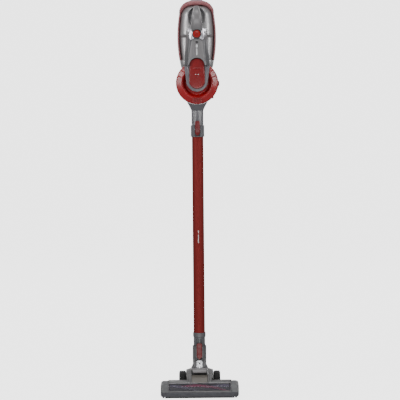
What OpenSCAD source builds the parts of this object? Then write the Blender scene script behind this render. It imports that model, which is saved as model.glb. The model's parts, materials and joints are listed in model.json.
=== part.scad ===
// Cordless stick vacuum: floor head, swivel neck, wand, dust cup and power unit.
// Millimetres. X to the right, the front faces -Y, Z up. The wand axis is x = 0, y = 0,
// and the floor is z = 0.

/* [Floor head] */
// Width over the end caps
head_w = 231; // [225:1:240]
// Width of each end cap
cap_w = 22; // [20:0.5:24]
// Radius of the bristle tips
bristle_r = 18; // [17:0.1:18.2]
// Radius of the brush core
core_r = 11; // [9:0.5:12]
// Number of bristle rows
bristle_rows = 4; // [2:1:6]
// Radius of the rear wheels
wheel_r = 31.5; // [30:0.1:31.6]
// Width of the rear wheels
wheel_w = 21; // [18:0.5:22]
// Radius of the front rollers
roller_r = 4.8; // [4.5:0.1:4.9]

/* [Neck joint] */
// Height of the pitch axis
pitch_z = 50; // [49.5:0.1:50.5]
// Height of the swivel pin
swivel_z = 95.7; // [95.5:0.1:96]
// Radius of the swivel pin
swivel_pin_r = 3; // [2.5:0.1:3.5]
// Radius of the neck's round foot
foot_r = 20; // [19:0.1:20]

/* [Wand] */
// Outer radius of the wand tube
tube_r = 17; // [16.8:0.1:17.2]
// Wall of the wand tube
tube_wall = 1; // [0.8:0.1:1.1]
// Height of the tube's lower end
tube_z0 = 186; // [184:1:190]
// Height of the tube's upper end
tube_z1 = 768.6; // [766:0.1:770]
// Outer radius of the plug-in spigots
spigot_r = 14.7; // [14.5:0.05:14.75]
// Radius of the air passage
airway_r = 12.5; // [12:0.1:12.6]

/* [Dust cup] */
// Height of the cup's centre line
cup_z = 925; // [924:0.5:926]
// Outer radius of the red ring
ring_r = 62; // [61:0.1:62.2]
// Outer radius of the clear cup
cup_r = 56; // [55.5:0.1:56]
// Wall of the clear cup
cup_wall = 2.2; // [2:0.1:2.6]
// Thickness of the release panel
panel_t = 4; // [3.5:0.1:4.2]

/* [Power unit] */
// Half width of the trim band at its widest
band_side = 58; // [57.5:0.1:58.5]
// Half width of the silver front shell
front_side = 50; // [49.5:0.1:50.2]
// Half width of the handle
handle_half = 14; // [12:0.5:15]
// Wall of the shells
shell_wall = 2.5; // [2:0.1:2.8]
// Radius of the suction motor
motor_r = 32; // [30:0.5:32.5]
// Radius of a battery cell
cell_r = 9.1; // [9:0.05:9.2]
// Radius of the power button
button_r = 11; // [10:0.1:11.2]
// Radius of the charging socket's hole
socket_r = 2.75; // [2.5:0.05:2.9]

/* [Hidden] */
$fn = 72;
hull_fn = 32;
far = 400;
gap = 0.3;
pin_fit = 0.05;
press_fit = 0.02;

// floor head
inner_x = head_w / 2 - cap_w;
cover_wall = 2.5;
chamber_x = inner_x - cover_wall;
brush_y = -42;
brush_z = 19;
chamber_r = 20;
window_r = 22;
window_a0 = 57;
window_a1 = 172;
sole_z0 = 2;
sole_z1 = 5;
deck_z = 43;
head_rear = 5;
ear_in = 24.5;
ear_out = 40.4;
ear_r = 26.5;
tail_y = 46;
pitch_y = 12;
barrel_r = 16.5;
barrel_x = ear_in - 0.4;
trunnion_r = 4;
wheel_y = 38;
wheel_x = 41;
axle_r = 2.5;
roller_y = -56;
roller_z = 5;
roller_x = 104;
roller_w = 6;
roller_pin_r = 1.5;
brush_shaft_r = 3;
bearing_r = 6;
pulley_x = inner_x + 1;
pulley_w = 6;
brush_pulley_r = 9;
motor_pulley_r = 4.5;
brush_motor_y = -8.2;
brush_motor_z = 20;
brush_motor_r = 9.8;
motor_shaft_r = 1.5;
screw_spots = [[-46, -8], [46, -8], [86, -8], [-33, 22], [33, 22]];
screw_r = 1.5;
screw_head_r = 3;
screw_head_t = 1.6;
screw_boss_r = 4;

// swivel cradle and neck
saddle_r = foot_r + 0.6;
foot_half = 14.7;
lug_r = 10.4;
lug_y = 20;
shoulder_z0 = 78;
shoulder_z1 = 83.5;
neck_r = 20.25;
neck_z1 = 146.4;
socket_wall_r = spigot_r + 0.15;
neck_socket_z = 111;
fitting_r = 17.3;

// release latches
latch_half = 8.5;
latch_y0 = -24.8;
latch_y1 = -18.8;
latch_pivot_y = -20;
latch_pin_r = 1.2;
latch_pin_half = 10.2;
neck_latch = [108.2, 130, 156];
wand_latch = [771, 790, 814.5];

// wand fittings
collar_z = 173;
wand_socket_z = 757;
wand_top_z = 802;
upper_collar_r = 20;

// dust cup
cup_y0 = -18;
cup_y1 = 46.4;
ring_y = -42;
door_y0 = 48.4;
door_y1 = 53;
door_r = cup_r + 1;
hinge_x = -57.5;
hinge_y = 56;
hinge_r = 2.6;
cup_pin_r = 1.2;
latch_x = 61;
latch_y = 40;
frame_half = 31.7;
frame_z = 931;
seam_z = 973.7;
frame_y0 = -53;
frame_y1 = ring_y - gap;
panel_half = 23.2;
panel_top_half = 20.2;
panel_top = 995;
panel_y = -54.5;
panel_pin_z = 913;
panel_pin_y = -50;

// power unit
side_r = 411;
side_z = 1060;
body_z0 = 971;
front_corner = [12, 1118];
front_corner_r = 34;
band_corner = [13.5, 1127];
band_corner_r = 40;
wing_y = -24;
saddle_body_r = ring_r + 0.6;
valley_y = -15;
split_y = -4;
band_y1 = 6;
back_y = 45;
lower_top = 1078;
pod_top_z = 1072;
pod_top_half = 29;
pod_bottom_half = 37.5;
pod_y = -60;
band_end_z = 993;
motor_y = -4;
button_z = 1065;
charge_z = 1008;

// ---- shared shapes ----

// A YZ outline (drawn as x, y) pushed along X
module along_x(x0, x1)
    translate([x0, 0, 0]) rotate([90, 0, 90]) linear_extrude(x1 - x0) children();

// An XZ outline (drawn as x, y) pushed along Y
module along_y(y0, y1)
    translate([0, y1, 0]) rotate([90, 0, 0]) linear_extrude(y1 - y0) children();

module rod_x(r, x0, x1, y, z)
    translate([x0, y, z]) rotate([0, 90, 0]) cylinder(r = r, h = x1 - x0);

module rod_y(r, y0, y1, x, z)
    translate([x, y0, z]) rotate([-90, 0, 0]) cylinder(r = r, h = y1 - y0);

module rod_z(r, z0, z1, x = 0, y = 0)
    translate([x, y, z0]) cylinder(r = r, h = z1 - z0);

module block(x0, x1, y0, y1, z0, z1)
    translate([x0, y0, z0]) cube([x1 - x0, y1 - y0, z1 - z0]);

// A profile of (radius, y) points turned about the cup's own axis
module turned_about_cup(points)
    translate([0, 0, cup_z]) rotate([-90, 0, 0]) rotate_extrude() polygon(points);

module ring_y_axis(r0, r1, y0, y1, z)
    difference() {
        rod_y(r1, y0, y1, 0, z);
        rod_y(r0, y0 - 1, y1 + 1, 0, z);
    }

module both_sides()
    for (side = [0, 1]) mirror([side, 0, 0]) children();

function arc(cx, cz, r, a0, a1, n) =
    [for (i = [0:n]) let (a = a0 + (a1 - a0) * i / n) [cx + r * cos(a), cz + r * sin(a)]];

function curve(a, b, c, d, n) =
    [for (i = [0:n]) let (t = i / n, s = 1 - t)
        a * s * s * s + b * 3 * s * s * t + c * 3 * s * t * t + d * t * t * t];

function flipped(points) =
    [for (i = [len(points) - 1:-1:0]) [-points[i][0], points[i][1]]];

// ---- floor head ----

module brush_circle(r) translate([brush_y, brush_z]) circle(r = r);

// The wedge of the brush chamber that the window covers
module window_wedge(r)
    polygon(concat([[brush_y, brush_z]], arc(brush_y, brush_z, r, window_a0, window_a1, 12)));

module head_outline()
    difference() {
        union() {
            brush_circle(window_r);
            polygon([[-30, 0], [-30, 37.5], [-22, deck_z], [head_rear - 6, deck_z],
                     [head_rear, deck_z - 6], [head_rear, 0]]);
        }
        translate([-far / 2, sole_z1 - far]) square(far);
        difference() {
            window_wedge(2 * window_r);
            brush_circle(chamber_r - 0.1);
        }
    }

module motor_bay_outline()
    difference() {
        polygon([[-22, 0], [-22, 38], [-19, deck_z - cover_wall], [head_rear - 7, deck_z - cover_wall],
                 [head_rear - cover_wall, deck_z - 7], [head_rear - cover_wall, 0]]);
        brush_circle(window_r);
    }

module hump_outline(inset)
    polygon([[-29 + inset, 34], [-29 + inset, 40], [-7 + inset, 58 - inset],
             [3, 58 - inset], [3, 34]]);

module ear_outline() {
    translate([pitch_y, pitch_z]) circle(r = ear_r);
    polygon([[-12, sole_z1], [-13, 42], [pitch_y, pitch_z], [38, 48], [tail_y, 36], [tail_y, sole_z1]]);
}

module tail_outline(inset)
    polygon([[0, sole_z1], [0, 26 - inset], [tail_y - inset, 26 - inset], [tail_y - inset, sole_z1]]);

module at_screws(r, z0, z1)
    for (spot = screw_spots) rod_z(r, z0, z1, spot[0], spot[1]);

module head_cover()
    color("dimgray") difference() {
        union() {
            difference() {
                along_x(-inner_x, inner_x) head_outline();
                along_x(-chamber_x, chamber_x) motor_bay_outline();
            }
            at_screws(screw_boss_r, sole_z1, deck_z - 1);
            block(-18, 18, -24, head_rear - 1, 8, 34);
            along_x(-ear_in, ear_in) hump_outline(0);
            both_sides() along_x(ear_in, ear_out) ear_outline();
            along_x(-ear_out, ear_out) tail_outline(0);
        }
        rod_x(chamber_r, -chamber_x, chamber_x, brush_y, brush_z);
        block(-16, 16, -30, head_rear - 3, 10, 32);
        along_x(-16, 16) hump_outline(2.2);
        rod_x(barrel_r + 0.6, -ear_in, ear_in, pitch_y, pitch_z);
        block(-24, 24, head_rear, tail_y - 3, 0, 23);
        rod_x(trunnion_r + press_fit, -37, 37, pitch_y, pitch_z);
        both_sides() rod_x(axle_r + press_fit, 28, ear_out + 1, wheel_y, wheel_r);
        both_sides() rod_x(bearing_r + press_fit, chamber_x - 1, inner_x + 1, brush_y, brush_z);
        rod_x(3, -inner_x - 1, -chamber_x + 1, brush_motor_y, brush_motor_z);
        at_screws(screw_r + press_fit, sole_z1 - 1, 17);
    }

module head_sole()
    color("gray") difference() {
        union() {
            block(-inner_x, inner_x, -61, head_rear, sole_z0, sole_z1);
            block(-ear_out, ear_out, head_rear - 1, tail_y, sole_z0, sole_z1);
        }
        block(-88, 88, -57, -27, 0, sole_z1 + 1);
        at_screws(screw_r + 0.2, 0, sole_z1 + 1);
        at_screws(screw_head_r + 0.1, 0, sole_z0 + screw_head_t);
    }

module brush_window()
    color([0.75, 0.75, 0.78, 0.5]) along_x(-inner_x + 0.1, inner_x - 0.1) difference() {
        window_wedge(window_r);
        brush_circle(chamber_r);
    }

module cap_outline(inset)
    hull() {
        translate([-44, 25]) circle(r = 16 - inset, $fn = hull_fn);
        translate([-50, 19]) circle(r = 15.5 - inset, $fn = hull_fn);
        translate([-3, 33]) circle(r = 8 - inset, $fn = hull_fn);
        translate([-3, 11]) circle(r = 8 - inset, $fn = hull_fn);
        translate([-58, 11]) circle(r = 8 - inset, $fn = hull_fn);
    }

// The right end cap; the left one is its mirror image
module end_cap() {
    outer_x = head_w / 2;
    difference() {
        union() {
            difference() {
                hull() {
                    along_x(inner_x, outer_x - 6) cap_outline(0);
                    along_x(outer_x - 6, outer_x) cap_outline(4);
                }
                along_x(inner_x - 1, outer_x - 9) cap_outline(2);
            }
            block(roller_x - 2.5, outer_x - 2, -62.5, -49, 4, 12);
        }
        block(roller_x - gap, roller_x + roller_w + gap, roller_y - roller_r - 0.8,
              roller_y + roller_r + 0.8, 0, roller_z + roller_r + 1);
        rod_x(roller_pin_r + press_fit, roller_x - 2, roller_x + roller_w + 2, roller_y, roller_z);
    }
}

module right_end_cap() color("darkgray") end_cap();

module left_end_cap() color("darkgray") mirror([1, 0, 0]) end_cap();

module front_bumper()
    color([0.2, 0.2, 0.21]) {
        along_x(-head_w / 2 + 3, head_w / 2 - 3)
            polygon(concat([[-66.3, 5]], arc(-68.5, 7.5, 2.5, 270, 180, 5),
                           arc(-68.5, 16, 2.5, 180, 90, 5), [[-66.3, 18.5]]));
        along_x(-inner_x + 1, inner_x - 1) polygon([[-66.4, 7], [-66.4, 18], [-64.1, 18], [-64.1, 7]]);
    }

module lint_strips()
    color("maroon") {
        block(-85, 85, -25.5, -19.5, 0, sole_z0);
        block(-30, 30, -6, 6, 0, sole_z0);
        block(-85, 85, -60.5, -57.5, 0.5, sole_z0);
    }

module head_screws()
    color("silver") {
        at_screws(screw_r, sole_z0 + 1, 16);
        at_screws(screw_head_r, sole_z0, sole_z0 + screw_head_t);
    }

module brush_motor()
    color("silver") difference() {
        union() {
            rod_x(brush_motor_r, -88, -52, brush_motor_y, brush_motor_z);
            rod_x(4, -90.5, -87, brush_motor_y, brush_motor_z);
        }
        rod_x(motor_shaft_r + pin_fit, -91, -80, brush_motor_y, brush_motor_z);
    }

module motor_pulley()
    color("gold") {
        rod_x(motor_pulley_r, -pulley_x - pulley_w, -pulley_x, brush_motor_y, brush_motor_z);
        rod_x(motor_shaft_r, -pulley_x - 1, -81, brush_motor_y, brush_motor_z);
    }

module belt_outline(extra)
    hull() {
        translate([brush_y, brush_z]) circle(r = brush_pulley_r + extra);
        translate([brush_motor_y, brush_motor_z]) circle(r = motor_pulley_r + extra);
    }

module drive_belt()
    color("black") along_x(-pulley_x - pulley_w + 0.5, -pulley_x - 0.5) difference() {
        belt_outline(1.6);
        belt_outline(gap);
    }

module pitch_pins()
    color("silver") both_sides() rod_x(trunnion_r, 21.5, 36.8, pitch_y, pitch_z);

module wheel_axles()
    color("silver") both_sides() {
        rod_x(axle_r, 28.2, wheel_x + wheel_w - 2.5, wheel_y, wheel_r);
        rod_x(roller_pin_r, roller_x - 1.9, roller_x + roller_w + 1.9, roller_y, roller_z);
    }

module brush_bearings()
    color("silver") both_sides() difference() {
        rod_x(bearing_r, chamber_x, inner_x, brush_y, brush_z);
        rod_x(brush_shaft_r + pin_fit, chamber_x - 1, inner_x + 1, brush_y, brush_z);
    }

module brush_core()
    color("dimgray") {
        rod_x(core_r, -chamber_x + 1.2, chamber_x - 1.2, brush_y, brush_z);
        rod_x(brush_shaft_r, -pulley_x - pulley_w, inner_x + 0.5, brush_y, brush_z);
    }

// One row of bristles, winding half a turn along the core
module bristle_row(start) {
    row_l = 2 * chamber_x - 6;
    translate([-row_l / 2, brush_y, brush_z]) rotate([0, 90, 0]) rotate([0, 0, start])
        linear_extrude(row_l, twist = 180, slices = 24, segments = 4)
            translate([core_r - 0.4, -1.2]) square([bristle_r - core_r + 0.4, 2.4]);
}

module brush_bristles()
    color("orchid") for (i = [0:bristle_rows - 1]) bristle_row(i * 360 / bristle_rows);

module brush_pulley()
    color("white") difference() {
        rod_x(brush_pulley_r, -pulley_x - pulley_w, -pulley_x, brush_y, brush_z);
        rod_x(brush_shaft_r + press_fit, -pulley_x - pulley_w - 1, -pulley_x + 1, brush_y, brush_z);
    }

// The right wheel's hub, with a recess in its outer face
module wheel_hub()
    difference() {
        rod_x(24, wheel_x, wheel_x + wheel_w - 1.5, wheel_y, wheel_r);
        rod_x(18, wheel_x + wheel_w - 6, wheel_x + wheel_w, wheel_y, wheel_r);
        rod_x(axle_r + pin_fit, wheel_x - 1, wheel_x + wheel_w + 1, wheel_y, wheel_r);
    }

module wheel_tyre()
    translate([wheel_x, wheel_y, wheel_r]) rotate([0, 90, 0]) rotate_extrude()
        polygon(concat([[24.02, 0]], arc(wheel_r - 4, 4, 4, 270, 360, 8),
                       arc(wheel_r - 4, wheel_w - 4, 4, 0, 90, 8), [[24.02, wheel_w]]));

module right_wheel_hub() color("dimgray") wheel_hub();

module left_wheel_hub() color("dimgray") mirror([1, 0, 0]) wheel_hub();

module right_wheel_tyre() color([0.08, 0.08, 0.08]) wheel_tyre();

module left_wheel_tyre() color([0.08, 0.08, 0.08]) mirror([1, 0, 0]) wheel_tyre();

module front_roller()
    difference() {
        rod_x(roller_r, roller_x, roller_x + roller_w, roller_y, roller_z);
        rod_x(roller_pin_r + pin_fit, roller_x - 1, roller_x + roller_w + 1, roller_y, roller_z);
    }

module right_front_roller() color([0.1, 0.1, 0.1]) front_roller();

module left_front_roller() color([0.1, 0.1, 0.1]) mirror([1, 0, 0]) front_roller();

// ---- swivel cradle and neck ----

module swivel_cradle()
    color("silver") difference() {
        union() {
            rod_x(barrel_r, -barrel_x, barrel_x, pitch_y, pitch_z);
            along_x(-barrel_x, barrel_x)
                polygon([[0, 59.5], [-14, 66], [-lug_y, shoulder_z0], [lug_y, shoulder_z0], [26, 58]]);
            along_x(-31, 31) polygon([[-lug_y, shoulder_z0], [-lug_y, shoulder_z1],
                                      [lug_y, shoulder_z1], [lug_y, shoulder_z0]]);
            block(-lug_r, lug_r, -lug_y, lug_y, shoulder_z0, swivel_z);
            rod_y(lug_r, -lug_y, lug_y, 0, swivel_z);
        }
        rod_y(saddle_r, -foot_half - 0.5, foot_half + 0.5, 0, swivel_z);
        rod_y(swivel_pin_r + press_fit, -lug_y - 1, lug_y + 1, 0, swivel_z);
        rod_z(9, pitch_z, swivel_z);
        rod_x(12.5, -21, 21, pitch_y, pitch_z);
        block(-16, 16, pitch_y - 20, pitch_y, 42, 56);
        rod_x(trunnion_r + pin_fit, -barrel_x - 1, barrel_x + 1, pitch_y, pitch_z);
    }

module swivel_pin()
    color("silver") rod_y(swivel_pin_r, -lug_y + 0.5, lug_y - 0.5, 0, swivel_z);

// A raised surround with a slot, on the front of a round fitting
module latch_surround(latch, z_top)
    block(-latch_half - 2.5, latch_half + 2.5, -22.6, -12, latch[0] - 2.1, z_top);

module latch_slot(latch, z_top) {
    block(-latch_half - 0.3, latch_half + 0.3, -30, -16.3, latch[0] - 0.7, z_top);
    rod_x(latch_pin_r + press_fit, -latch_pin_half - 0.1, latch_pin_half + 0.1, latch_pivot_y, latch[1]);
}

// A rocking release button: its tongue reaches over the piece that plugs in
module latch_button(latch)
    difference() {
        union() {
            along_y(latch_y0, latch_y1)
                polygon(concat(arc(0, latch[0] + latch_half, latch_half, 180, 360, 12),
                               [[latch_half, latch[2] - 3], [latch_half - 3, latch[2]],
                                [-latch_half + 3, latch[2]], [-latch_half, latch[2] - 3]]));
            rod_x(2.6, -latch_half, latch_half, latch_pivot_y, latch[1]);
        }
        rod_x(latch_pin_r + pin_fit, -latch_half - 1, latch_half + 1, latch_pivot_y, latch[1]);
        rod_x(2.9, -3, 3, latch_pivot_y, latch[1]);
    }

module latch_pin(latch)
    rod_x(latch_pin_r, -latch_pin_half, latch_pin_half, latch_pivot_y, latch[1]);

module latch_spring(latch)
    for (i = [-2:2]) difference() {
        rod_x(latch_pin_r + 1.15, i - 0.35, i + 0.35, latch_pivot_y, latch[1]);
        rod_x(latch_pin_r + 0.45, i - 1, i + 1, latch_pivot_y, latch[1]);
    }

module neck_shell()
    color([0.28, 0.28, 0.3]) difference() {
        union() {
            rod_z(neck_r, swivel_z, neck_z1);
            rod_y(foot_r, -foot_half, foot_half, 0, swivel_z);
            latch_surround(neck_latch, neck_z1);
        }
        for (y = [-26, foot_half]) {
            rod_y(lug_r + 1, y, y + 26 - foot_half, 0, swivel_z);
            block(-30, 30, y, y + 26 - foot_half, swivel_z - 30, swivel_z + 4);
        }
        rod_z(socket_wall_r, neck_socket_z, neck_z1 + 1);
        rod_z(9, swivel_z - 30, neck_socket_z + 1);
        rod_y(swivel_pin_r + pin_fit, -30, 30, 0, swivel_z);
        for (x = [-3, 3]) rod_z(0.72, 103, neck_socket_z + 1, x, 13.2);
        latch_slot(neck_latch, neck_z1 + 1);
    }

module neck_contacts()
    color("gold") for (x = [-3, 3]) rod_z(0.7, 103.1, 118, x, 13.2);

module neck_latch_pin() color("silver") latch_pin(neck_latch);

module neck_latch_spring() color("silver") latch_spring(neck_latch);

module neck_latch_button() color("firebrick") latch_button(neck_latch);

// ---- wand ----

module wand_tube()
    color("darkred") difference() {
        rod_z(tube_r, tube_z0, tube_z1);
        rod_z(tube_r - tube_wall, tube_z0 - 1, tube_z1 + 1);
    }

module wand_lower_fitting()
    color("dimgray") difference() {
        union() {
            rod_z(spigot_r, neck_socket_z + 0.5, neck_z1 + 1);
            rod_z(fitting_r, neck_z1 + 0.2, collar_z);
            rod_z(19, collar_z, tube_z0);
            rod_z(tube_r - tube_wall - 0.05, tube_z0, tube_z0 + 30);
        }
        rod_z(airway_r, neck_socket_z, tube_z0 + 31);
        for (x = [-3, 3]) rod_z(0.9, neck_socket_z, 120, x, 13.2);
    }

module wand_upper_fitting()
    color("dimgray") difference() {
        union() {
            rod_z(tube_r - tube_wall - 0.05, wand_socket_z - 20, tube_z1);
            rod_z(upper_collar_r, tube_z1, wand_top_z);
            latch_surround(wand_latch, wand_top_z);
        }
        rod_z(airway_r, wand_socket_z - 21, wand_socket_z + 1);
        rod_z(socket_wall_r, wand_socket_z, wand_top_z + 1);
        latch_slot(wand_latch, wand_top_z + 1);
    }

module wand_cable()
    color("black") rod_z(1.1, neck_socket_z + 12, wand_socket_z - 4, 0, airway_r - 1.2);

module wand_latch_pin() color("silver") latch_pin(wand_latch);

module wand_latch_spring() color("silver") latch_spring(wand_latch);

module wand_latch_button() color("firebrick") latch_button(wand_latch);

// ---- dust cup ----

module inlet_neck()
    color("gray") difference() {
        union() {
            rod_z(spigot_r, wand_socket_z + 0.5, wand_top_z + 1);
            rod_z(fitting_r, wand_top_z + 0.2, 844);
            hull() {
                translate([0, 0, 842]) cylinder(r = fitting_r, h = 2, $fn = hull_fn);
                block(-24, 24, -38, 24, 868, 873);
                block(-30, 30, -32, 18, 868, 873);
            }
        }
        rod_z(airway_r, wand_socket_z, 890);
        rod_y(ring_r + gap, -60, 60, 0, cup_z);
    }

module dust_cup()
    color([0.8, 0.8, 0.82, 0.4]) difference() {
        union() {
            rod_y(cup_r, cup_y0, cup_y1, 0, cup_z);
            rod_y(ring_r, cup_y0, cup_y0 + 3.5, 0, cup_z);
            for (dz = [-18, 12]) {
                block(-60, -50, 30, 40, cup_z + dz, cup_z + dz + 6);
                block(-60, -57.6, 30, hinge_y, cup_z + dz, cup_z + dz + 6);
                rod_z(hinge_r, cup_z + dz, cup_z + dz + 6, hinge_x, hinge_y);
            }
            for (dz = [-13, 7.4]) block(50, 63, latch_y - 3, latch_y + 3, cup_z + dz, cup_z + dz + 5.6);
            rod_z(airway_r + 2, 866, 880);
        }
        rod_y(cup_r - cup_wall, cup_y0 - 1, cup_y1 + 1, 0, cup_z);
        rod_z(airway_r, 860, 882);
        rod_z(cup_pin_r + press_fit, 900, 950, hinge_x, hinge_y);
        rod_z(cup_pin_r + press_fit, cup_z - 12, cup_z + 12, latch_x, latch_y);
    }

module cup_ring()
    color("firebrick") turned_about_cup([
        [16, -31], [34, -31], [44, ring_y], [49, ring_y], [58, -39], [ring_r, -33],
        [ring_r, cup_y0 - 0.2], [59.5, cup_y0 - 0.2], [59.5, -32], [56, -37], [49, -39.5],
        [45, -39.5], [35, -28.5], [16, -28.5]]);

module frame_shape(grow, half_top)
    polygon(concat(arc(0, frame_z, frame_half + grow, 180, 360, 24),
                   [[half_top, seam_z], [-half_top, seam_z]]));

module tongue_frame()
    color("gray") difference() {
        along_y(frame_y0, frame_y1) frame_shape(0, pod_bottom_half);
        along_y(frame_y0 - 1, frame_y1 - 2.2) translate([0, 0.1]) frame_shape(-7.9, 24);
        rod_x(cup_pin_r + press_fit, -19, 19, panel_pin_y, panel_pin_z);
        rod_y(12, frame_y0, frame_y1 + 1, 0, cup_z);
    }

module cyclone_cone()
    color("dimgray") turned_about_cup([
        [29.8, -28], [29.8, -14], [29.8, 10], [20, 34], [18, 34], [27.5, 10], [27.5, -28]]);

module mesh_filter()
    color("silver") ring_y_axis(29.9, 31.2, -24, 10, cup_z);

// A pleated filter sleeve with a star section
module pleated_filter() {
    pleats = 24;
    color("white") along_y(-26, 8) translate([0, cup_z]) difference() {
        polygon([for (i = [0:2 * pleats - 1])
            let (r = i % 2 == 0 ? 27 : 22, a = 180 * i / pleats) [r * cos(a), r * sin(a)]]);
        circle(r = 19);
    }
}

module cup_seals()
    color([0.12, 0.12, 0.12]) {
        ring_y_axis(56, 59.3, cup_y0 - 3, cup_y0, cup_z);
        ring_y_axis(cup_r - cup_wall, cup_r, cup_y1, door_y0 - 0.2, cup_z);
    }

module cup_pins()
    color("silver") {
        rod_z(cup_pin_r, cup_z - 17.5, cup_z + 17.5, hinge_x, hinge_y);
        rod_z(cup_pin_r, cup_z - 11.9, cup_z + 11.9, latch_x, latch_y);
    }

module release_pin()
    color("silver") rod_x(cup_pin_r, -18.9, 18.9, panel_pin_y, panel_pin_z);

module release_panel()
    color("firebrick") difference() {
        union() {
            along_y(panel_y, panel_y + panel_t)
                polygon(concat(arc(0, frame_z, panel_half, 180, 360, 24),
                               arc(panel_top_half - 6, panel_top - 6, 6, 0, 90, 5),
                               arc(-panel_top_half + 6, panel_top - 6, 6, 90, 180, 5)));
            rod_x(2.5, -12, 12, panel_pin_y, panel_pin_z);
        }
        rod_x(cup_pin_r + pin_fit, -25, 25, panel_pin_y, panel_pin_z);
    }

module cup_door()
    color([0.3, 0.3, 0.32]) difference() {
        union() {
            rod_y(door_r, door_y0, door_y1, 0, cup_z);
            block(hinge_x, hinge_x + 8, door_y1 - 2, hinge_y + hinge_r, cup_z - 11.7, cup_z + 11.7);
            rod_z(hinge_r, cup_z - 11.7, cup_z + 11.7, hinge_x, hinge_y);
        }
        rod_z(cup_pin_r + pin_fit, 900, 950, hinge_x, hinge_y);
        for (dz = [-18.5, 11.7])
            block(-70, hinge_x + 3.2, 30, 70, cup_z + dz, cup_z + dz + 6.8);
    }

module door_latch()
    color("darkred") difference() {
        union() {
            translate([0, 0, cup_z - 7]) linear_extrude(14)
                polygon([[62.6, 28], [66, 29], [66, 43], [64.5, 56], [58, 56], [58, 53.4],
                         [60.5, 53.4], [61, 44], [62.6, 36]]);
            rod_z(2.6, cup_z - 7, cup_z + 7, latch_x, latch_y);
            block(latch_x, 65, latch_y - 2, latch_y + 2, cup_z - 7, cup_z + 7);
        }
        rod_z(cup_pin_r + pin_fit, 900, 950, latch_x, latch_y);
    }

// ---- power unit ----

// Half a body outline: a long side arc, then a tight corner arc to the flat top
function half_outline(side, corner, corner_r) =
    let (cx = side - side_r,
         a_low = asin((body_z0 - side_z) / side_r),
         a_top = atan2(corner[1] - side_z, corner[0] - cx))
    concat(arc(cx, side_z, side_r, a_low, a_top, 10),
           arc(corner[0], corner[1], corner_r, a_top, 90, 10));

module body_outline(side, corner, corner_r) {
    right = half_outline(side, corner, corner_r);
    polygon(concat(right, flipped(right)));
}

module front_outline(inset) body_outline(front_side - inset, front_corner, front_corner_r - inset);

module band_outline(inset) body_outline(band_side - inset, band_corner, band_corner_r - inset);

module below(z) intersection() {
    children();
    translate([-far / 2, z - far]) square(far);
}

module pod_outline(inset)
    polygon([[-pod_bottom_half + inset, seam_z + gap + inset], [-pod_top_half + inset, pod_top_z - inset],
             [pod_top_half - inset, pod_top_z - inset], [pod_bottom_half - inset, seam_z + gap + inset]]);

// Side view of the bridge handle, from the pod's face over the top of the body
function handle_outer() = concat(
    [[-50, 1040], [-60, 1044]],
    curve([-64, 1050], [-68, 1075], [-84, 1090], [-82, 1112], 12),
    curve([-82, 1112], [-79, 1142], [-45, 1151], [split_y - 1, 1151], 14));

function handle_inner() = concat(
    [[split_y - 1, 1140]],
    curve([valley_y, 1140], [-40, 1141], [-50, 1130], [-52, 1110], 10),
    curve([-52, 1110], [-54, 1095], [-50, 1084], [-42, lower_top], 10),
    [[-42, 1060]]);

module handle()
    along_x(-handle_half, handle_half) polygon(concat(handle_outer(), handle_inner()));

module saddle(extra)
    rod_y(saddle_body_r + extra, ring_y - gap, 60, 0, cup_z);

// The front shell as a solid: shoulders, lower body, wide lower corners, pod and handle
module front_body() {
    along_y(valley_y, split_y) front_outline(0);
    hull() {
        along_y(-34, valley_y) below(lower_top) front_outline(0);
        along_y(-45, -34) below(lower_top - 4) front_outline(7);
    }
    along_y(valley_y, band_y1 - 0.2) below(band_end_z - 1) front_outline(0);
    along_y(wing_y, band_y1 - 0.2) below(band_end_z - 1) band_outline(2);
    along_y(pod_y, -44) pod_outline(0);
    handle();
}

module front_hollow() {
    along_y(valley_y + shell_wall, 20) front_outline(shell_wall);
    along_y(-42, 20) below(lower_top - shell_wall) front_outline(9);
    along_y(pod_y + shell_wall, -41) pod_outline(shell_wall);
}

module front_shell()
    color("silver") difference() {
        front_body();
        difference() {
            front_hollow();
            saddle(shell_wall);
        }
        saddle(0);
        block(-60, 60, -70, ring_y - gap, body_z0 - 10, seam_z + gap);
        block(-panel_half, panel_half, -70, -45.4, body_z0 - 10, panel_top + 1);
        rod_y(button_r + gap, -90, -56, 0, button_z);
    }

module trim_band()
    color("maroon") along_y(split_y, band_y1) difference() {
        band_outline(0);
        front_outline(-0.5);
        translate([-far / 2, band_end_z - far]) square(far);
    }

module rear_shell()
    color("gainsboro") difference() {
        hull() {
            along_y(band_y1, 30) band_outline(3);
            along_y(30, back_y) band_outline(15);
        }
        difference() {
            union() {
                along_y(band_y1 - 1, 28) band_outline(3 + shell_wall);
                along_y(28, back_y - shell_wall) band_outline(17);
            }
            saddle(shell_wall);
        }
        saddle(0);
        rod_y(5.55, 30, 50, 0, charge_z);
    }

module suction_motor()
    color("dimgray") difference() {
        union() {
            rod_z(motor_r, 1001, 1050, 0, motor_y);
            rod_z(26, 1050, 1070, 0, motor_y);
        }
        rod_z(28.5, 1003, 1015, 0, motor_y);
        rod_z(14, 1000, 1004, 0, motor_y);
        rod_z(2.5 + pin_fit, 1014, 1060, 0, motor_y);
    }

// The motor's fan: a disc with swept blades on a shaft
module fan_wheel() {
    blades = 9;
    color("white") translate([0, motor_y, 0]) {
        rod_z(27.5, 1011, 1013);
        rod_z(2.5, 1012, 1058);
        rod_z(6, 1005, 1011.5);
        for (i = [0:blades - 1]) rotate([0, 0, i * 360 / blades])
            translate([5, 0, 1005]) rotate([0, 0, 25]) cube([19, 1.2, 6.5]);
    }
}

module battery_pack()
    color("green") for (z = [1094, 1113, 1132], y = [3.5, 22.5]) rod_x(cell_r, -32.4, 32.4, y, z);

module circuit_board()
    color("darkgreen") {
        block(-24, 24, -46, -44.4, 1004, 1056);
        block(-9, 9, -50, -46, 1010, 1022);
    }

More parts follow.
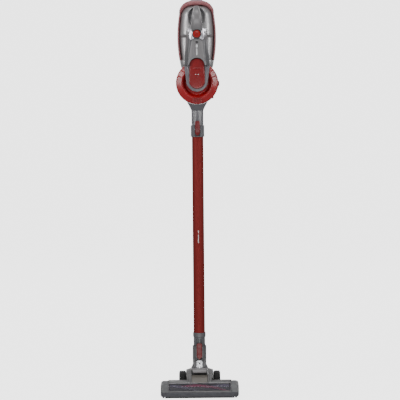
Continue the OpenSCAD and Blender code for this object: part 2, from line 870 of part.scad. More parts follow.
module charging_socket()
    color("black") difference() {
        rod_y(5.5, 34, back_y + 0.4, 0, charge_z);
        rod_y(socket_r, back_y - 9, back_y + 2, 0, charge_z);
    }

module power_button()
    color("red") rod_y(button_r, -70.5, -58.5, 0, button_z);

head_sole();
head_cover();
brush_window();
left_end_cap();
right_end_cap();
front_bumper();
lint_strips();
head_screws();
brush_motor();
drive_belt();
pitch_pins();
wheel_axles();
brush_bearings();
brush_core();
brush_bristles();
brush_pulley();
motor_pulley();
left_wheel_hub();
left_wheel_tyre();
right_wheel_hub();
right_wheel_tyre();
left_front_roller();
right_front_roller();
swivel_cradle();
swivel_pin();
neck_shell();
neck_contacts();
neck_latch_pin();
neck_latch_spring();
neck_latch_button();
wand_tube();
wand_lower_fitting();
wand_upper_fitting();
wand_cable();
wand_latch_pin();
wand_latch_spring();
wand_latch_button();
inlet_neck();
dust_cup();
cup_ring();
tongue_frame();
cyclone_cone();
mesh_filter();
pleated_filter();
cup_seals();
cup_pins();
release_pin();
release_panel();
cup_door();
door_latch();
front_shell();
trim_band();
rear_shell();
suction_motor();
fan_wheel();
battery_pack();
circuit_board();
charging_socket();
power_button();
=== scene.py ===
"""Looks of the cordless stick vacuum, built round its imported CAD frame.

Sizes in this file are millimetres, and make() turns them into Blender's metres.
"""

import json
import math
import random

import bmesh
import bpy
from mathutils import Matrix, Vector


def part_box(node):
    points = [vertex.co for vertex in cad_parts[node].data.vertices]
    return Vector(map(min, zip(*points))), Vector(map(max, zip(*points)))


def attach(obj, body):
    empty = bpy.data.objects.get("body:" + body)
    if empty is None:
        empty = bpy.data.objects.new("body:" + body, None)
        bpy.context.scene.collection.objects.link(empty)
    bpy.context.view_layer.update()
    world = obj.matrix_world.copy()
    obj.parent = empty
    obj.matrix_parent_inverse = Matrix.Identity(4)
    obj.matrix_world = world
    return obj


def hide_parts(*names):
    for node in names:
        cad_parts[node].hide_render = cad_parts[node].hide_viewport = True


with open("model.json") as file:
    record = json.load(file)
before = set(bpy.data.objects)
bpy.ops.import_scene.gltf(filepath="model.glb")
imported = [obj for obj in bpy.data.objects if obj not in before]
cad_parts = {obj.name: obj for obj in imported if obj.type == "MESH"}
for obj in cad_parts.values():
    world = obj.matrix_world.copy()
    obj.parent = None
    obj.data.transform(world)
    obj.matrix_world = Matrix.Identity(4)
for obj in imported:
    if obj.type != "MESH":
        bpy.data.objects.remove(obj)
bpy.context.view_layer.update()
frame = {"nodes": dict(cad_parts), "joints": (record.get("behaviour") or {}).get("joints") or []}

MM = 0.001
JOINTS = {joint["name"]: joint for joint in frame["joints"]}
rng = random.Random(7)


def span(node):
    """A CAD node's lowest and highest corners, in millimetres."""
    low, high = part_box(node)
    return low / MM, high / MM


def axis_of(joint):
    """The point that a hinge turns about, in millimetres."""
    return Vector(JOINTS[joint]["pos_m"]) / MM


# ---------------------------------------------------------------- frame sizes

COVER_HIGH = span("head_cover")[1]
INNER_X = COVER_HIGH.x
HEAD_X = span("right_end_cap")[1].x
TAIL_Y = COVER_HIGH.y
BRUSH = axis_of("brush_spin")
WINDOW_R = BRUSH.y - span("brush_window")[0].y
CHAMBER_R = WINDOW_R - 2
DECK_Z = BRUSH.z + 24
SOLE_Z = span("head_sole")[1].z
PITCH = axis_of("neck_pitch")
EAR_R = COVER_HIGH.z - PITCH.z
EAR_IN = 24.5
SWIVEL = axis_of("neck_swivel")
CRADLE_LOW = span("swivel_cradle")[0]
WHEEL = axis_of("right_wheel_spin")
TYRE_LOW, TYRE_HIGH = span("right_wheel_tyre")
EAR_OUT = TYRE_LOW.x - 0.6

NECK_TOP = span("neck_shell")[1].z
NECK_R = span("neck_shell")[1].x
TUBE_LOW, TUBE_HIGH = span("wand_tube")
TUBE_R = TUBE_HIGH.x
WAND_TOP = span("wand_upper_fitting")[1].z
FITTING_R = 17.3

RING_LOW, RING_HIGH = span("cup_ring")
RING_R = RING_HIGH.x
RING_Z = (RING_LOW.z + RING_HIGH.z) / 2
RING_Y = RING_LOW.y
FRAME_LOW, FRAME_HIGH = span("tongue_frame")
PANEL_LOW, PANEL_HIGH = span("release_panel")

BAND_LOW, BAND_HIGH = span("trim_band")
BACK_LOW, BACK_HIGH = span("rear_shell")
SADDLE_R = RING_R + 0.6
SEAM_Z = FRAME_HIGH.z
BODY_MID = 1060.0
SIDE_R = 411.0
CROWN_TURN = 1118.0
CROWN_CORNER_R = 34.0
BACK_TURN = 1127.0
BACK_CORNER_R = 38.4
SHELL_FULL = 3.0
BUTTON_LOW, BUTTON_HIGH = span("power_button")
BUTTON_Z = (BUTTON_LOW.z + BUTTON_HIGH.z) / 2


# ---------------------------------------------------------------- mesh tools

def make(name, points, faces, material, smooth=32, bevel=0, segments=3):
    """An object from points in millimetres, smooth where its faces meet at under smooth degrees."""
    bm = bmesh.new()
    verts = [bm.verts.new(Vector(p) * MM) for p in points]
    for face in faces:
        bm.faces.new([verts[i] for i in face])
    bmesh.ops.remove_doubles(bm, verts=bm.verts, dist=1e-6)
    bmesh.ops.dissolve_degenerate(bm, edges=bm.edges, dist=1e-6)
    bmesh.ops.recalc_face_normals(bm, faces=bm.faces)
    return from_bmesh(name, bm, material, smooth, bevel, segments)


def from_bmesh(name, bm, material, smooth=32, bevel=0, segments=3):
    mesh = bpy.data.meshes.new(name)
    bm.to_mesh(mesh)
    bm.free()
    mesh.shade_smooth()
    mesh.set_sharp_from_angle(angle=math.radians(smooth))
    piece = bpy.data.objects.new(name, mesh)
    bpy.context.scene.collection.objects.link(piece)
    mesh.materials.append(material)
    if bevel:
        rounded(piece, bevel, segments, smooth)
    return piece


def skin(name, rings, material, closed=True, caps=True, **looks):
    """A surface through rings of points, each with the same number of points."""
    count = len(rings[0])
    points = [p for ring in rings for p in ring]
    faces = []
    for r in range(len(rings) - 1):
        for i in range(count if closed else count - 1):
            j = (i + 1) % count
            faces.append((r * count + i, r * count + j, (r + 1) * count + j, (r + 1) * count + i))
    if caps:
        faces.append(tuple(range(count))[::-1])
        last = (len(rings) - 1) * count
        faces.append(tuple(last + i for i in range(count)))
    return make(name, points, faces, material, **looks)


def lathe(name, profile, axis, centre, material, steps=96, wobble=None, **looks):
    """A closed profile of (radius, height) turned about an axis; wobble(angle, radius, height) moves it."""
    points, faces = [], []
    count = len(profile)
    for s in range(steps):
        angle = 2 * math.pi * s / steps
        for radius, height in profile:
            if wobble:
                radius, height = wobble(angle, radius, height)
            a, b = radius * math.cos(angle), radius * math.sin(angle)
            spot = {"X": (height, a, b), "Y": (a, height, b), "Z": (a, b, height)}[axis]
            points.append(Vector(centre) + Vector(spot))
    for s in range(steps):
        t = (s + 1) % steps
        for i in range(count):
            j = (i + 1) % count
            faces.append((s * count + i, t * count + i, t * count + j, s * count + j))
    return make(name, points, faces, material, **looks)


def prism(name, outline, axis, low, high, material, **looks):
    """An outline pushed along X (drawn in Y, Z), Y (drawn in X, Z) or Z (drawn in X, Y)."""
    place = {"X": lambda p, h: (h, p[0], p[1]), "Y": lambda p, h: (p[0], h, p[1]),
             "Z": lambda p, h: (p[0], p[1], h)}[axis]
    rings = [[place(p, h) for p in outline] for h in (low, high)]
    return skin(name, rings, material, **looks)


def sheet(name, rows, thickness, material, offset=-1, **looks):
    """An open grid of points made into a wall of the given thickness."""
    piece = skin(name, rows, material, closed=False, caps=False, **looks)
    wall = piece.modifiers.new("wall", "SOLIDIFY")
    wall.thickness = thickness * MM
    wall.offset = offset
    bake_modifiers(piece)
    return piece


def bake_modifiers(piece):
    """Turns what the modifiers make into the piece's own mesh."""
    shape = piece.evaluated_get(bpy.context.evaluated_depsgraph_get())
    mesh = bpy.data.meshes.new_from_object(shape)
    piece.modifiers.clear()
    piece.data = mesh


def cut(piece, *cutters, smooth=32):
    """Takes the cutters' shapes out of the piece."""
    for cutter in cutters:
        knife = piece.modifiers.new("cut", "BOOLEAN")
        knife.operation = "DIFFERENCE"
        knife.solver = "EXACT"
        knife.object = cutter
        bake_modifiers(piece)
        bpy.data.objects.remove(cutter)
    piece.data.set_sharp_from_angle(angle=math.radians(smooth))
    return piece


def join(name, pieces):
    """One object from several that share a material and a body."""
    bm = bmesh.new()
    material = pieces[0].data.materials[0]
    for piece in pieces:
        bake_modifiers(piece)
        bm.from_mesh(piece.data)
        bpy.data.objects.remove(piece)
    return from_bmesh(name, bm, material)


def bulge(piece, move):
    """Moves each point of a piece by a rule written in millimetres."""
    for vert in piece.data.vertices:
        vert.co = Vector(move(*(vert.co / MM))) * MM
    return piece


def rounded(piece, radius, segments=4, smooth=32):
    """Rounds a piece's sharp edges, after its points have been moved."""
    edge = piece.modifiers.new("edge_radius", "BEVEL")
    edge.width = radius * MM
    edge.segments = segments
    edge.limit_method = "ANGLE"
    edge.angle_limit = math.radians(smooth)
    edge.harden_normals = True
    return piece


def softened(node, name, material, radius=0.5, smooth=38):
    """A copy of a CAD node with its sharp edges rounded as a mould leaves them."""
    bm = bmesh.new()
    bm.from_mesh(frame["nodes"][node].data)
    bmesh.ops.remove_doubles(bm, verts=bm.verts, dist=2e-6)
    bmesh.ops.dissolve_limit(bm, angle_limit=math.radians(0.6), verts=bm.verts, edges=bm.edges)
    return from_bmesh(name, bm, material, smooth, radius, 2)


def place(piece, body, slot, *nodes):
    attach(piece, body)
    if nodes:
        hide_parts(*nodes)
    return piece


# ---------------------------------------------------------------- outlines

def arc(cx, cy, radius, start, end, steps):
    """Points on an arc, with its angles in degrees."""
    angles = [math.radians(start + (end - start) * i / steps) for i in range(steps + 1)]
    return [(cx + radius * math.cos(a), cy + radius * math.sin(a)) for a in angles]


def curve(a, b, c, d, steps):
    """Points on a cubic curve from a to d."""
    points = []
    for i in range(steps + 1):
        t = i / steps
        s = 1 - t
        weights = (s ** 3, 3 * s * s * t, 3 * s * t * t, t ** 3)
        points.append(tuple(sum(w * p[k] for w, p in zip(weights, (a, b, c, d))) for k in range(len(a))))
    return points


def ease(x, low, high):
    """0 below low, 1 above high, and smooth between them."""
    t = min(1, max(0, (x - low) / (high - low)))
    return t * t * (3 - 2 * t)


def mirrored(points):
    return [(-x, z) for x, z in reversed(points)]


def side_outline(side, corner_x, corner_z, corner_r, low, steps=18):
    """The right half of a body outline: a long side arc, then a corner arc to the flat top."""
    cx = side - SIDE_R
    start = math.degrees(math.asin((low - BODY_MID) / SIDE_R))
    turn = math.degrees(math.atan2(corner_z - BODY_MID, corner_x - cx))
    return arc(cx, BODY_MID, SIDE_R, start, turn, steps) + arc(
        corner_x, corner_z, corner_r, turn, 90, steps)[1:]


def superellipse(half_x, half_y, power, steps, centre=(0, 0)):
    points = []
    for i in range(steps):
        a = 2 * math.pi * i / steps
        c, s = math.cos(a), math.sin(a)
        points.append((centre[0] + half_x * math.copysign(abs(c) ** (2 / power), c),
                       centre[1] + half_y * math.copysign(abs(s) ** (2 / power), s)))
    return points


# ---------------------------------------------------------------- materials

def linear(code):
    """A colour from its sRGB hex value, as the shader wants it."""
    parts = [int(code[i:i + 2], 16) / 255 for i in (0, 2, 4)]
    return tuple(p / 12.92 if p <= 0.04045 else ((p + 0.055) / 1.055) ** 2.4 for p in parts) + (1,)


def add(tree, kind, inputs=None, **settings):
    """Adds a node with its settings, its input values and its links."""
    node = tree.nodes.new(kind)
    for key, value in settings.items():
        setattr(node, key, value)
    for key, value in (inputs or {}).items():
        if isinstance(value, bpy.types.NodeSocket):
            tree.links.new(value, node.inputs[key])
        else:
            node.inputs[key].default_value = value
    return node


def shader(name, **inputs):
    """A material with one Principled shader, and the object's own coordinates for its patterns."""
    material = bpy.data.materials.new(name)
    material.use_nodes = True
    tree = material.node_tree
    bsdf = tree.nodes["Principled BSDF"]
    for key, value in inputs.items():
        bsdf.inputs[key.replace("_", " ")].default_value = value
    where = add(tree, "ShaderNodeTexCoord").outputs["Object"]
    return material, tree, bsdf, where


def vary(tree, where, bsdf, light, dark, size):
    """Lets the colour drift between two shades over patches of the given size in millimetres."""
    cloud = add(tree, "ShaderNodeTexNoise", {"Vector": where, "Scale": 1000 / size, "Detail": 3.0})
    ramp = add(tree, "ShaderNodeValToRGB", {"Fac": cloud.outputs["Fac"]})
    ramp.color_ramp.elements[0].position = 0.35
    ramp.color_ramp.elements[1].position = 0.65
    ramp.color_ramp.elements[0].color = linear(dark)
    ramp.color_ramp.elements[1].color = linear(light)
    tree.links.new(ramp.outputs["Color"], bsdf.inputs["Base Color"])
    return ramp


def roughen(tree, bsdf, height, strength, depth):
    """Raises the surface by a height pattern; depth is in millimetres."""
    bump = add(tree, "ShaderNodeBump", {"Height": height, "Strength": strength, "Distance": depth * MM})
    tree.links.new(bump.outputs["Normal"], bsdf.inputs["Normal"])


def wear(tree, bsdf, where, low, high, size):
    """Roughness that drifts between two values, as handling leaves it."""
    patch = add(tree, "ShaderNodeTexNoise", {"Vector": where, "Scale": 1000 / size, "Detail": 4.0})
    rate = add(tree, "ShaderNodeMapRange", {"Value": patch.outputs["Fac"], "From Min": 0.3, "From Max": 0.7,
                                            "To Min": low, "To Max": high})
    tree.links.new(rate.outputs["Result"], bsdf.inputs["Roughness"])


def moulded_abs(name, light, dark, low=0.36, high=0.46, grain=0.9):
    """Spark-eroded ABS: a soft satin sheen from a fine pitted grain, drawn coarser than life to show."""
    material, tree, bsdf, where = shader(name, IOR=1.54)
    vary(tree, where, bsdf, light, dark, 35)
    wear(tree, bsdf, where, low, high, 14)
    pits = add(tree, "ShaderNodeTexNoise", {"Vector": where, "Scale": 1000 / grain, "Detail": 2.0})
    roughen(tree, bsdf, pits.outputs["Fac"], 0.35, 0.05)
    return material


def gloss_abs(name, light, dark, rough=0.14):
    """Polished-mould ABS: clear reflections that the slow sink of the moulding bends a little."""
    material, tree, bsdf, where = shader(name, IOR=1.54, Coat_Weight=0.15, Coat_Roughness=0.12)
    vary(tree, where, bsdf, light, dark, 30)
    wear(tree, bsdf, where, rough, rough + 0.1, 18)
    sink = add(tree, "ShaderNodeTexNoise", {"Vector": where, "Scale": 1000 / 9, "Detail": 1.0})
    roughen(tree, bsdf, sink.outputs["Fac"], 0.3, 0.06)
    return material


def silver_lacquer(name, light, dark, metal=0.8, rough=0.38):
    """Metallic lacquer on ABS: small bright flakes under a clear coat, drawn at 0.7 mm to show."""
    material, tree, bsdf, where = shader(name, Metallic=metal, Coat_Weight=0.5, Coat_Roughness=0.12)
    flakes = add(tree, "ShaderNodeTexNoise", {"Vector": where, "Scale": 1000 / 0.7, "Detail": 2.0})
    ramp = add(tree, "ShaderNodeValToRGB", {"Fac": flakes.outputs["Fac"]})
    ramp.color_ramp.elements[0].position = 0.35
    ramp.color_ramp.elements[1].position = 0.65
    ramp.color_ramp.elements[0].color = linear(dark)
    ramp.color_ramp.elements[1].color = linear(light)
    tree.links.new(ramp.outputs["Color"], bsdf.inputs["Base Color"])
    wear(tree, bsdf, where, rough, rough + 0.08, 16)
    roughen(tree, bsdf, flakes.outputs["Fac"], 0.1, 0.015)
    return material


def brushed_metal(name, light, dark, rough=0.3, along=(40, 40, 1200), metal=1.0):
    """Drawn or brushed metal: fine lines along the part, stretched noise at the lines' spacing."""
    material, tree, bsdf, where = shader(name, Metallic=metal)
    stretch = add(tree, "ShaderNodeMapping", {"Vector": where, "Scale": along})
    lines = add(tree, "ShaderNodeTexNoise", {"Vector": stretch.outputs["Vector"], "Scale": 1.0,
                                             "Detail": 4.0})
    ramp = add(tree, "ShaderNodeValToRGB", {"Fac": lines.outputs["Fac"]})
    ramp.color_ramp.elements[0].position = 0.3
    ramp.color_ramp.elements[1].position = 0.7
    ramp.color_ramp.elements[0].color = linear(dark)
    ramp.color_ramp.elements[1].color = linear(light)
    tree.links.new(ramp.outputs["Color"], bsdf.inputs["Base Color"])
    wear(tree, bsdf, where, rough, rough + 0.1, 12)
    roughen(tree, bsdf, lines.outputs["Fac"], 0.15, 0.02)
    return material


def clear_polycarbonate(name, tint, rough=0.04, alpha=0.35):
    """Clear moulded polycarbonate: see-through, with a sharp sheen and faint handling haze."""
    material, tree, bsdf, where = shader(name, IOR=1.58, Alpha=alpha, Coat_Weight=0.5, Coat_Roughness=0.03)
    vary(tree, where, bsdf, tint, tint, 40)
    wear(tree, bsdf, where, rough, rough + 0.08, 12)
    flow = add(tree, "ShaderNodeTexNoise", {"Vector": where, "Scale": 1000 / 12, "Detail": 1.0})
    roughen(tree, bsdf, flow.outputs["Fac"], 0.15, 0.05)
    return material


def soft_rubber(name, light, dark, grain=1.2):
    """Moulded rubber: matt, slightly dusty, with a fine skin grain."""
    material, tree, bsdf, where = shader(name, IOR=1.5, Sheen_Weight=0.15, Sheen_Roughness=0.5)
    vary(tree, where, bsdf, light, dark, 9)
    wear(tree, bsdf, where, 0.62, 0.82, 10)
    grain_node = add(tree, "ShaderNodeTexNoise", {"Vector": where, "Scale": 1000 / grain, "Detail": 3.0})
    roughen(tree, bsdf, grain_node.outputs["Fac"], 0.5, 0.08)
    return material


def fibre(name, light, dark, size=0.8, sheen=0.5):
    """Fibrous stuff such as felt, filter paper or nylon bristle: matt with a soft sheen."""
    material, tree, bsdf, where = shader(name, IOR=1.5, Sheen_Weight=sheen, Sheen_Roughness=0.4)
    vary(tree, where, bsdf, light, dark, size * 3)
    wear(tree, bsdf, where, 0.55, 0.8, 6)
    hairs = add(tree, "ShaderNodeTexNoise", {"Vector": where, "Scale": 1000 / size, "Detail": 4.0})
    roughen(tree, bsdf, hairs.outputs["Fac"], 0.6, 0.1)
    return material


def perforated_steel(name):
    """Fine etched stainless mesh: a field of 1.2 mm dark holes on a 2 mm grid, seen on a drum along Y."""
    material, tree, bsdf, where = shader(name, Metallic=1.0)
    holes = add(tree, "ShaderNodeTexVoronoi", {"Vector": where, "Scale": 1000 / 2.0, "Randomness": 0.0})
    ramp = add(tree, "ShaderNodeValToRGB", {"Fac": holes.outputs["Distance"]})
    ramp.color_ramp.interpolation = "CONSTANT"
    ramp.color_ramp.elements[0].color = linear("1a1a1b")
    ramp.color_ramp.elements[1].position = 0.42
    ramp.color_ramp.elements[1].color = linear("b9babb")
    tree.links.new(ramp.outputs["Color"], bsdf.inputs["Base Color"])
    wear(tree, bsdf, where, 0.28, 0.4, 8)
    roughen(tree, bsdf, ramp.outputs["Color"], 0.4, 0.1)
    return material


ABS_GREY = moulded_abs("abs_grey_moulded", "6d6c6c", "636262")
ABS_CAP = moulded_abs("abs_cap_grey_moulded", "68696a", "5f6061")
ABS_PANEL = moulded_abs("abs_panel_warm_grey_moulded", "716c65", "66625c")
ABS_FRAME = moulded_abs("abs_frame_grey_moulded", "6d696e", "626064", 0.3, 0.4)
ABS_SOLE = moulded_abs("abs_sole_grey_moulded", "474748", "3d3d3e")
ABS_NECK = moulded_abs("abs_neck_grey_moulded", "5e5d5f", "525153", 0.28, 0.38)
ABS_BLACK = moulded_abs("abs_black_moulded", "1c1c1d", "151516", 0.35, 0.5)
ABS_WHITE = moulded_abs("acetal_white_moulded", "dcdad4", "cfcdc6", 0.35, 0.45)
ABS_PALE = moulded_abs("abs_pale_grey_moulded", "a3a19f", "979593", 0.3, 0.4)
ABS_INLET = gloss_abs("abs_inlet_grey_polished", "68676b", "5e5d61", 0.26)
ABS_BUMPER = soft_rubber("tpe_bumper_grey", "4c4c51", "434348", 1.6)
RED_GLOSS = gloss_abs("abs_red_polished", "a0151a", "8e1116", 0.27)
RED_PANEL = gloss_abs("abs_deep_red_polished", "84090d", "76070b", 0.26)
RED_LATCH = moulded_abs("abs_dark_red_moulded", "741418", "641013", 0.3, 0.4)
RED_BUTTON = gloss_abs("abs_switch_red_polished", "9c120d", "8a0e0a", 0.18)
# Burgundy lightened to a pink-grey: partly the band's own burgundy, partly a painted sheen of bright
# surroundings reflected in it.
BURGUNDY_WITH_PAINTED_SHEEN = gloss_abs("abs_burgundy_with_painted_sheen", "a3676a", "955a5d", 0.2)
SILVER = silver_lacquer("lacquered_abs_silver", "b4b3b3", "969596")
SILVER_DARK = silver_lacquer("lacquered_abs_dark_silver", "777677", "646366", 0.6, 0.32)
SILVER_MID = silver_lacquer("lacquered_abs_mid_silver", "8a8889", "7a7879", 0.5, 0.44)
# Silver lacquer made near-white: its lightness is a painted highlight for facets that face up into the light.
SILVER_PAINTED_HIGHLIGHT = silver_lacquer("lacquered_abs_silver_painted_highlight", "dddbe2", "cfcdd6", 0.7, 0.24)
CHROME = silver_lacquer("chrome_plated_abs", "f2f3f6", "eaebef", 0.75, 0.2)
TUBE_RED = brushed_metal("anodised_aluminium_red", "811d19", "771914", 0.5, (500, 500, 8), 0.5)
STEEL = brushed_metal("drawn_steel", "b9babc", "8f9092", 0.25)
MOTOR_CAN = brushed_metal("zinc_plated_motor_can", "9c9da0", "7c7d80", 0.3)
BRASS = brushed_metal("turned_brass", "c9a24e", "a17c32", 0.22)
CLEAR = clear_polycarbonate("polycarbonate_clear", "8d8a95", 0.04, 0.1)
SMOKED = clear_polycarbonate("polycarbonate_smoked", "55555a", 0.06, 0.42)
RUBBER = soft_rubber("moulded_rubber_black", "1d1d1d", "131313")
SEAL = soft_rubber("silicone_seal_dark", "2b2b2d", "202022", 0.9)
BRISTLE_PINK = fibre("nylon_bristle_pink", "b8406e", "8c2852", 0.7, 0.4)
BRISTLE_GREY = fibre("nylon_bristle_violet_grey", "857c95", "665e78", 0.7, 0.4)
FELT = fibre("flocked_felt_red", "6e1519", "551014", 1.0, 0.8)
PAPER = fibre("pleated_filter_paper", "e4e1d8", "d3cfc4", 1.4, 0.2)
MESH_STEEL = perforated_steel("etched_steel_mesh")
CELL_WRAP = gloss_abs("pvc_cell_wrap_green", "2f7d45", "256a39", 0.25)
BOARD_GREEN = gloss_abs("solder_mask_green", "12502a", "0e4323", 0.3)
# White for the printed bars, and also for the window's top strip and the release panel's two dots, which are
# painted highlights.
PRINT_AND_HIGHLIGHT_WHITE = moulded_abs("screen_print_and_painted_highlight_white", "e6e6e6", "d8d8d8", 0.4, 0.5, 0.5)
LENS_BLACK = gloss_abs("acrylic_lens_black", "08080a", "050506", 0.06)


# ---------------------------------------------------------------- floor head

def brush_arc(radius, start, end, steps=24):
    return arc(BRUSH.y, BRUSH.z, radius, start, end, steps)


def head_deck():
    """The cover's roof, rear wall and brush chamber, with an end wall at each side."""
    rear = 5.0
    roof = [(-30.0, 37.6), (-27.5, 40.6), (-23, DECK_Z)] + arc(rear - 6, DECK_Z - 6, 6, 90, 0, 6) + [
        (rear, SOLE_Z), (rear - 2.5, SOLE_Z), (rear - 2.5, DECK_Z - 7), (rear - 7, DECK_Z - 2.5),
        (-21, DECK_Z - 2.5), (-28.6, 36.2)]
    shade_outline = brush_arc(CHAMBER_R + 0.1, 57, -44) + brush_arc(WINDOW_R, -40, 57)
    side = brush_arc(CHAMBER_R - 0.1, 57, 222, 30) + [(rear, SOLE_Z)] + arc(
        rear - 6, DECK_Z - 6, 6, 0, 90, 6) + [(-23, DECK_Z), (-30, 37.6)]
    front_lip = brush_arc(CHAMBER_R, 171, 215, 8) + brush_arc(WINDOW_R, 215, 171, 8)
    inner = INNER_X - 2.5
    pieces = [
        prism("roof", roof, "X", -INNER_X, INNER_X, ABS_GREY, bevel=0.8),
        prism("front_lip", front_lip, "X", -inner, inner, ABS_GREY),
    ]
    for sign in (-1, 1):
        pieces.append(prism("side", side, "X", *sorted((sign * inner, sign * INNER_X)), ABS_GREY))
    place(join("head_deck", pieces), "head", "grey_plastic", "head_cover")
    # The black sheet inside the brush chamber is painted shade: it darkens the chamber behind the brush,
    # where shade falls.
    place(prism("chamber_painted_shade", shade_outline, "X", -inner, inner, ABS_BLACK), "head", "bumper_rubber")


def pivot_ears():
    """Two raised ears that hold the pitch pins, each with an arm that slopes down to the window."""
    outline = [(-30.6, 37.6), (-29.8, 40.8), (-12.9, 59.1)] + arc(PITCH.y, PITCH.z, EAR_R, 160, -8, 26) + [
        (38, 47.5), (TAIL_Y, 36), (TAIL_Y, SOLE_Z), (-12, SOLE_Z), (-13.5, 36)]

    def flare(x, y, z):
        share = (abs(x) - EAR_IN) / (EAR_OUT - EAR_IN)
        inward = 5.2 * (1 - ease(z, 40, 68)) * share * (1 - ease(y, 8, 24))
        return (x - math.copysign(inward, x), y, z - 5.0 * share * ease(z, 62, 74))

    for sign, side in ((-1, "left"), (1, "right")):
        low, high = sorted((sign * EAR_IN, sign * EAR_OUT))
        ear = prism(f"{side}_pivot_ear", outline, "X", low, high, ABS_GREY)
        bulge(ear, flare)
        rounded(ear, 2.2)
        place(ear, "head", "grey_plastic")
        for k, x in enumerate((EAR_IN + 4.4, EAR_IN + 9.6)):
            line = [(-28.4, 42.4), (-13.6, 58.7), (-12.6, 58.2), (-27.4, 41.4)]
            groove_bar = prism(f"{side}_arm_groove_{k + 1}", line, "X", sign * x - 0.5, sign * x + 0.5,
                               ABS_BLACK)
            place(groove_bar, "head", "grey_plastic")
        rim = lathe(f"{side}_ear_boss", [(5.2, -0.3), (9.6, -0.3), (10.4, 0.6), (10.4, 1.0), (5.2, 1.0)],
                    "X", (sign * EAR_OUT - (1.0 if sign > 0 else 0.0), PITCH.y, PITCH.z), ABS_SOLE, 48)
        place(rim, "head", "grey_plastic")


def head_hump():
    """The sloping housing between the ears that carries the air passage, with its warm grey panel."""
    outline = [(-29, 39), (-27.5, 41.8), (-8.5, 57.2), (-6, 58.2), (-3.2, 58.2), (-5.2, 52), (-4, 44),
               (2, 39)]
    hump = prism("centre_hump", outline, "X", -EAR_IN, EAR_IN, ABS_GREY, bevel=0.9)
    place(hump, "head", "grey_plastic")
    rows = []
    for i in range(17):
        x = -23.5 + 47 * i / 16
        reach = 1.0 - 0.16 * (abs(x) / 23.5) ** 2.2
        row = []
        for k in range(13):
            t = k / 12 * reach * 1.18
            y = -7.4 - 21.2 * t
            z = 58.6 - 18.0 * t + 1.2 * math.sin(math.pi * min(1, t))
            row.append((x, y, z))
        rows.append(row)
    panel = sheet("centre_panel", rows, 1.4, ABS_PANEL, offset=1)
    place(panel, "head", "cap_plastic")
    tail = prism("tail_base", [(2, SOLE_Z), (2, 25), (TAIL_Y - 2, 26), (TAIL_Y, 24), (TAIL_Y, SOLE_Z)],
                 "X", -EAR_IN, EAR_IN, ABS_GREY, bevel=1.2)
    place(tail, "head", "grey_plastic")
    throat = [(4, 32), (14, 33), (24, 31), (24, 27), (4, 27)]
    place(prism("throat_gasket", throat, "X", -17, 17, SEAL, bevel=1), "head", "bumper_rubber")


def cap_ring(x, inset):
    """One ring of an end cap, its corners drawn in by inset."""
    corners = [(-58, 11, 8, 180, 270), (-3, 11, 8, 270, 360), (-3, 33, 8, 0, 90),
               (-44, 25, 16, 90, 150), (-50, 19, 15.5, 150, 180)]
    points = []
    for cy, cz, radius, start, end in corners:
        points += arc(cy, cz, radius - inset, start, end, 7)
    return [(x, y, z) for y, z in points]


def end_caps():
    for sign, side in ((-1, "left"), (1, "right")):
        stations = [(INNER_X + 0.1, 0.6), (INNER_X + 0.7, 0.0), (HEAD_X - 9, 0.0), (HEAD_X - 5, 0.7),
                    (HEAD_X - 2, 2.4), (HEAD_X - 0.6, 4.4), (HEAD_X, 6.6)]
        rings = [cap_ring(sign * x, inset) for x, inset in stations]
        cap = skin(f"{side}_cap_shell", rings, ABS_CAP, smooth=40)
        low, high = span(f"{side}_front_roller")
        pocket = prism("pocket", [(low.y - 0.7, -2), (low.y - 0.7, 11), (high.y + 0.7, 11),
                                  (high.y + 0.7, -2)],
                       "X", low.x - 0.3, high.x + 0.3, ABS_CAP)
        cut(cap, pocket, smooth=40)
        place(cap, "head", "cap_plastic", f"{side}_end_cap")
        screw_x = sign * (INNER_X - 3.4)
        screw = lathe(f"{side}_cover_screw", [(0.01, -1.2), (2.0, -1.2), (2.2, -0.3), (1.9, 0.0), (1.0, 0.0),
                                             (0.9, -0.5), (0.01, -0.5)],
                      "Z", (screw_x, -25.5, DECK_Z - 1.4), ABS_BLACK, 32)
        place(screw, "head", "steel")


def bumper():
    """The soft bumper strip along the front edge, with a black skirt under it."""
    outline = [(-64.2, 7), (-66, 5.2)] + arc(-68.4, 7.8, 2.6, 270, 180, 6) + arc(
        -68.4, 15.9, 2.6, 180, 95, 6) + [(-66, 18.6), (-64.2, 18.6)]
    strip = prism("bumper_strip", outline, "X", -HEAD_X + 3.2, HEAD_X - 3.2, ABS_BUMPER, bevel=0.5)
    bake_modifiers(strip)

    def wrap(x, y, z):
        return (x, y + 5.2 * ease(abs(x), HEAD_X - 16, HEAD_X - 2), z)

    place(bulge(sliced(strip, 0, 40), wrap), "head", "bumper_rubber", "front_bumper")
    skirt = prism("front_skirt", [(-66.8, 1.4), (-66.8, 5.0), (-63.5, 5.0), (-63.5, 1.4)], "X", -102, 102,
                  RUBBER, bevel=0.4)
    place(skirt, "head", "bumper_rubber")


def sliced(piece, axis, count):
    """Slices a long piece across X (0) or Y (1), so that it can bend."""
    bm = bmesh.new()
    bm.from_mesh(piece.data)
    places = [v.co[axis] for v in bm.verts]
    low, high = min(places), max(places)
    normal = Vector((axis == 0, axis == 1, 0))
    for i in range(1, count):
        bmesh.ops.bisect_plane(bm, geom=bm.verts[:] + bm.edges[:] + bm.faces[:],
                               plane_co=normal * (low + (high - low) * i / count), plane_no=normal)
    bm.to_mesh(piece.data)
    bm.free()
    piece.data.set_sharp_from_angle(angle=math.radians(32))
    return piece


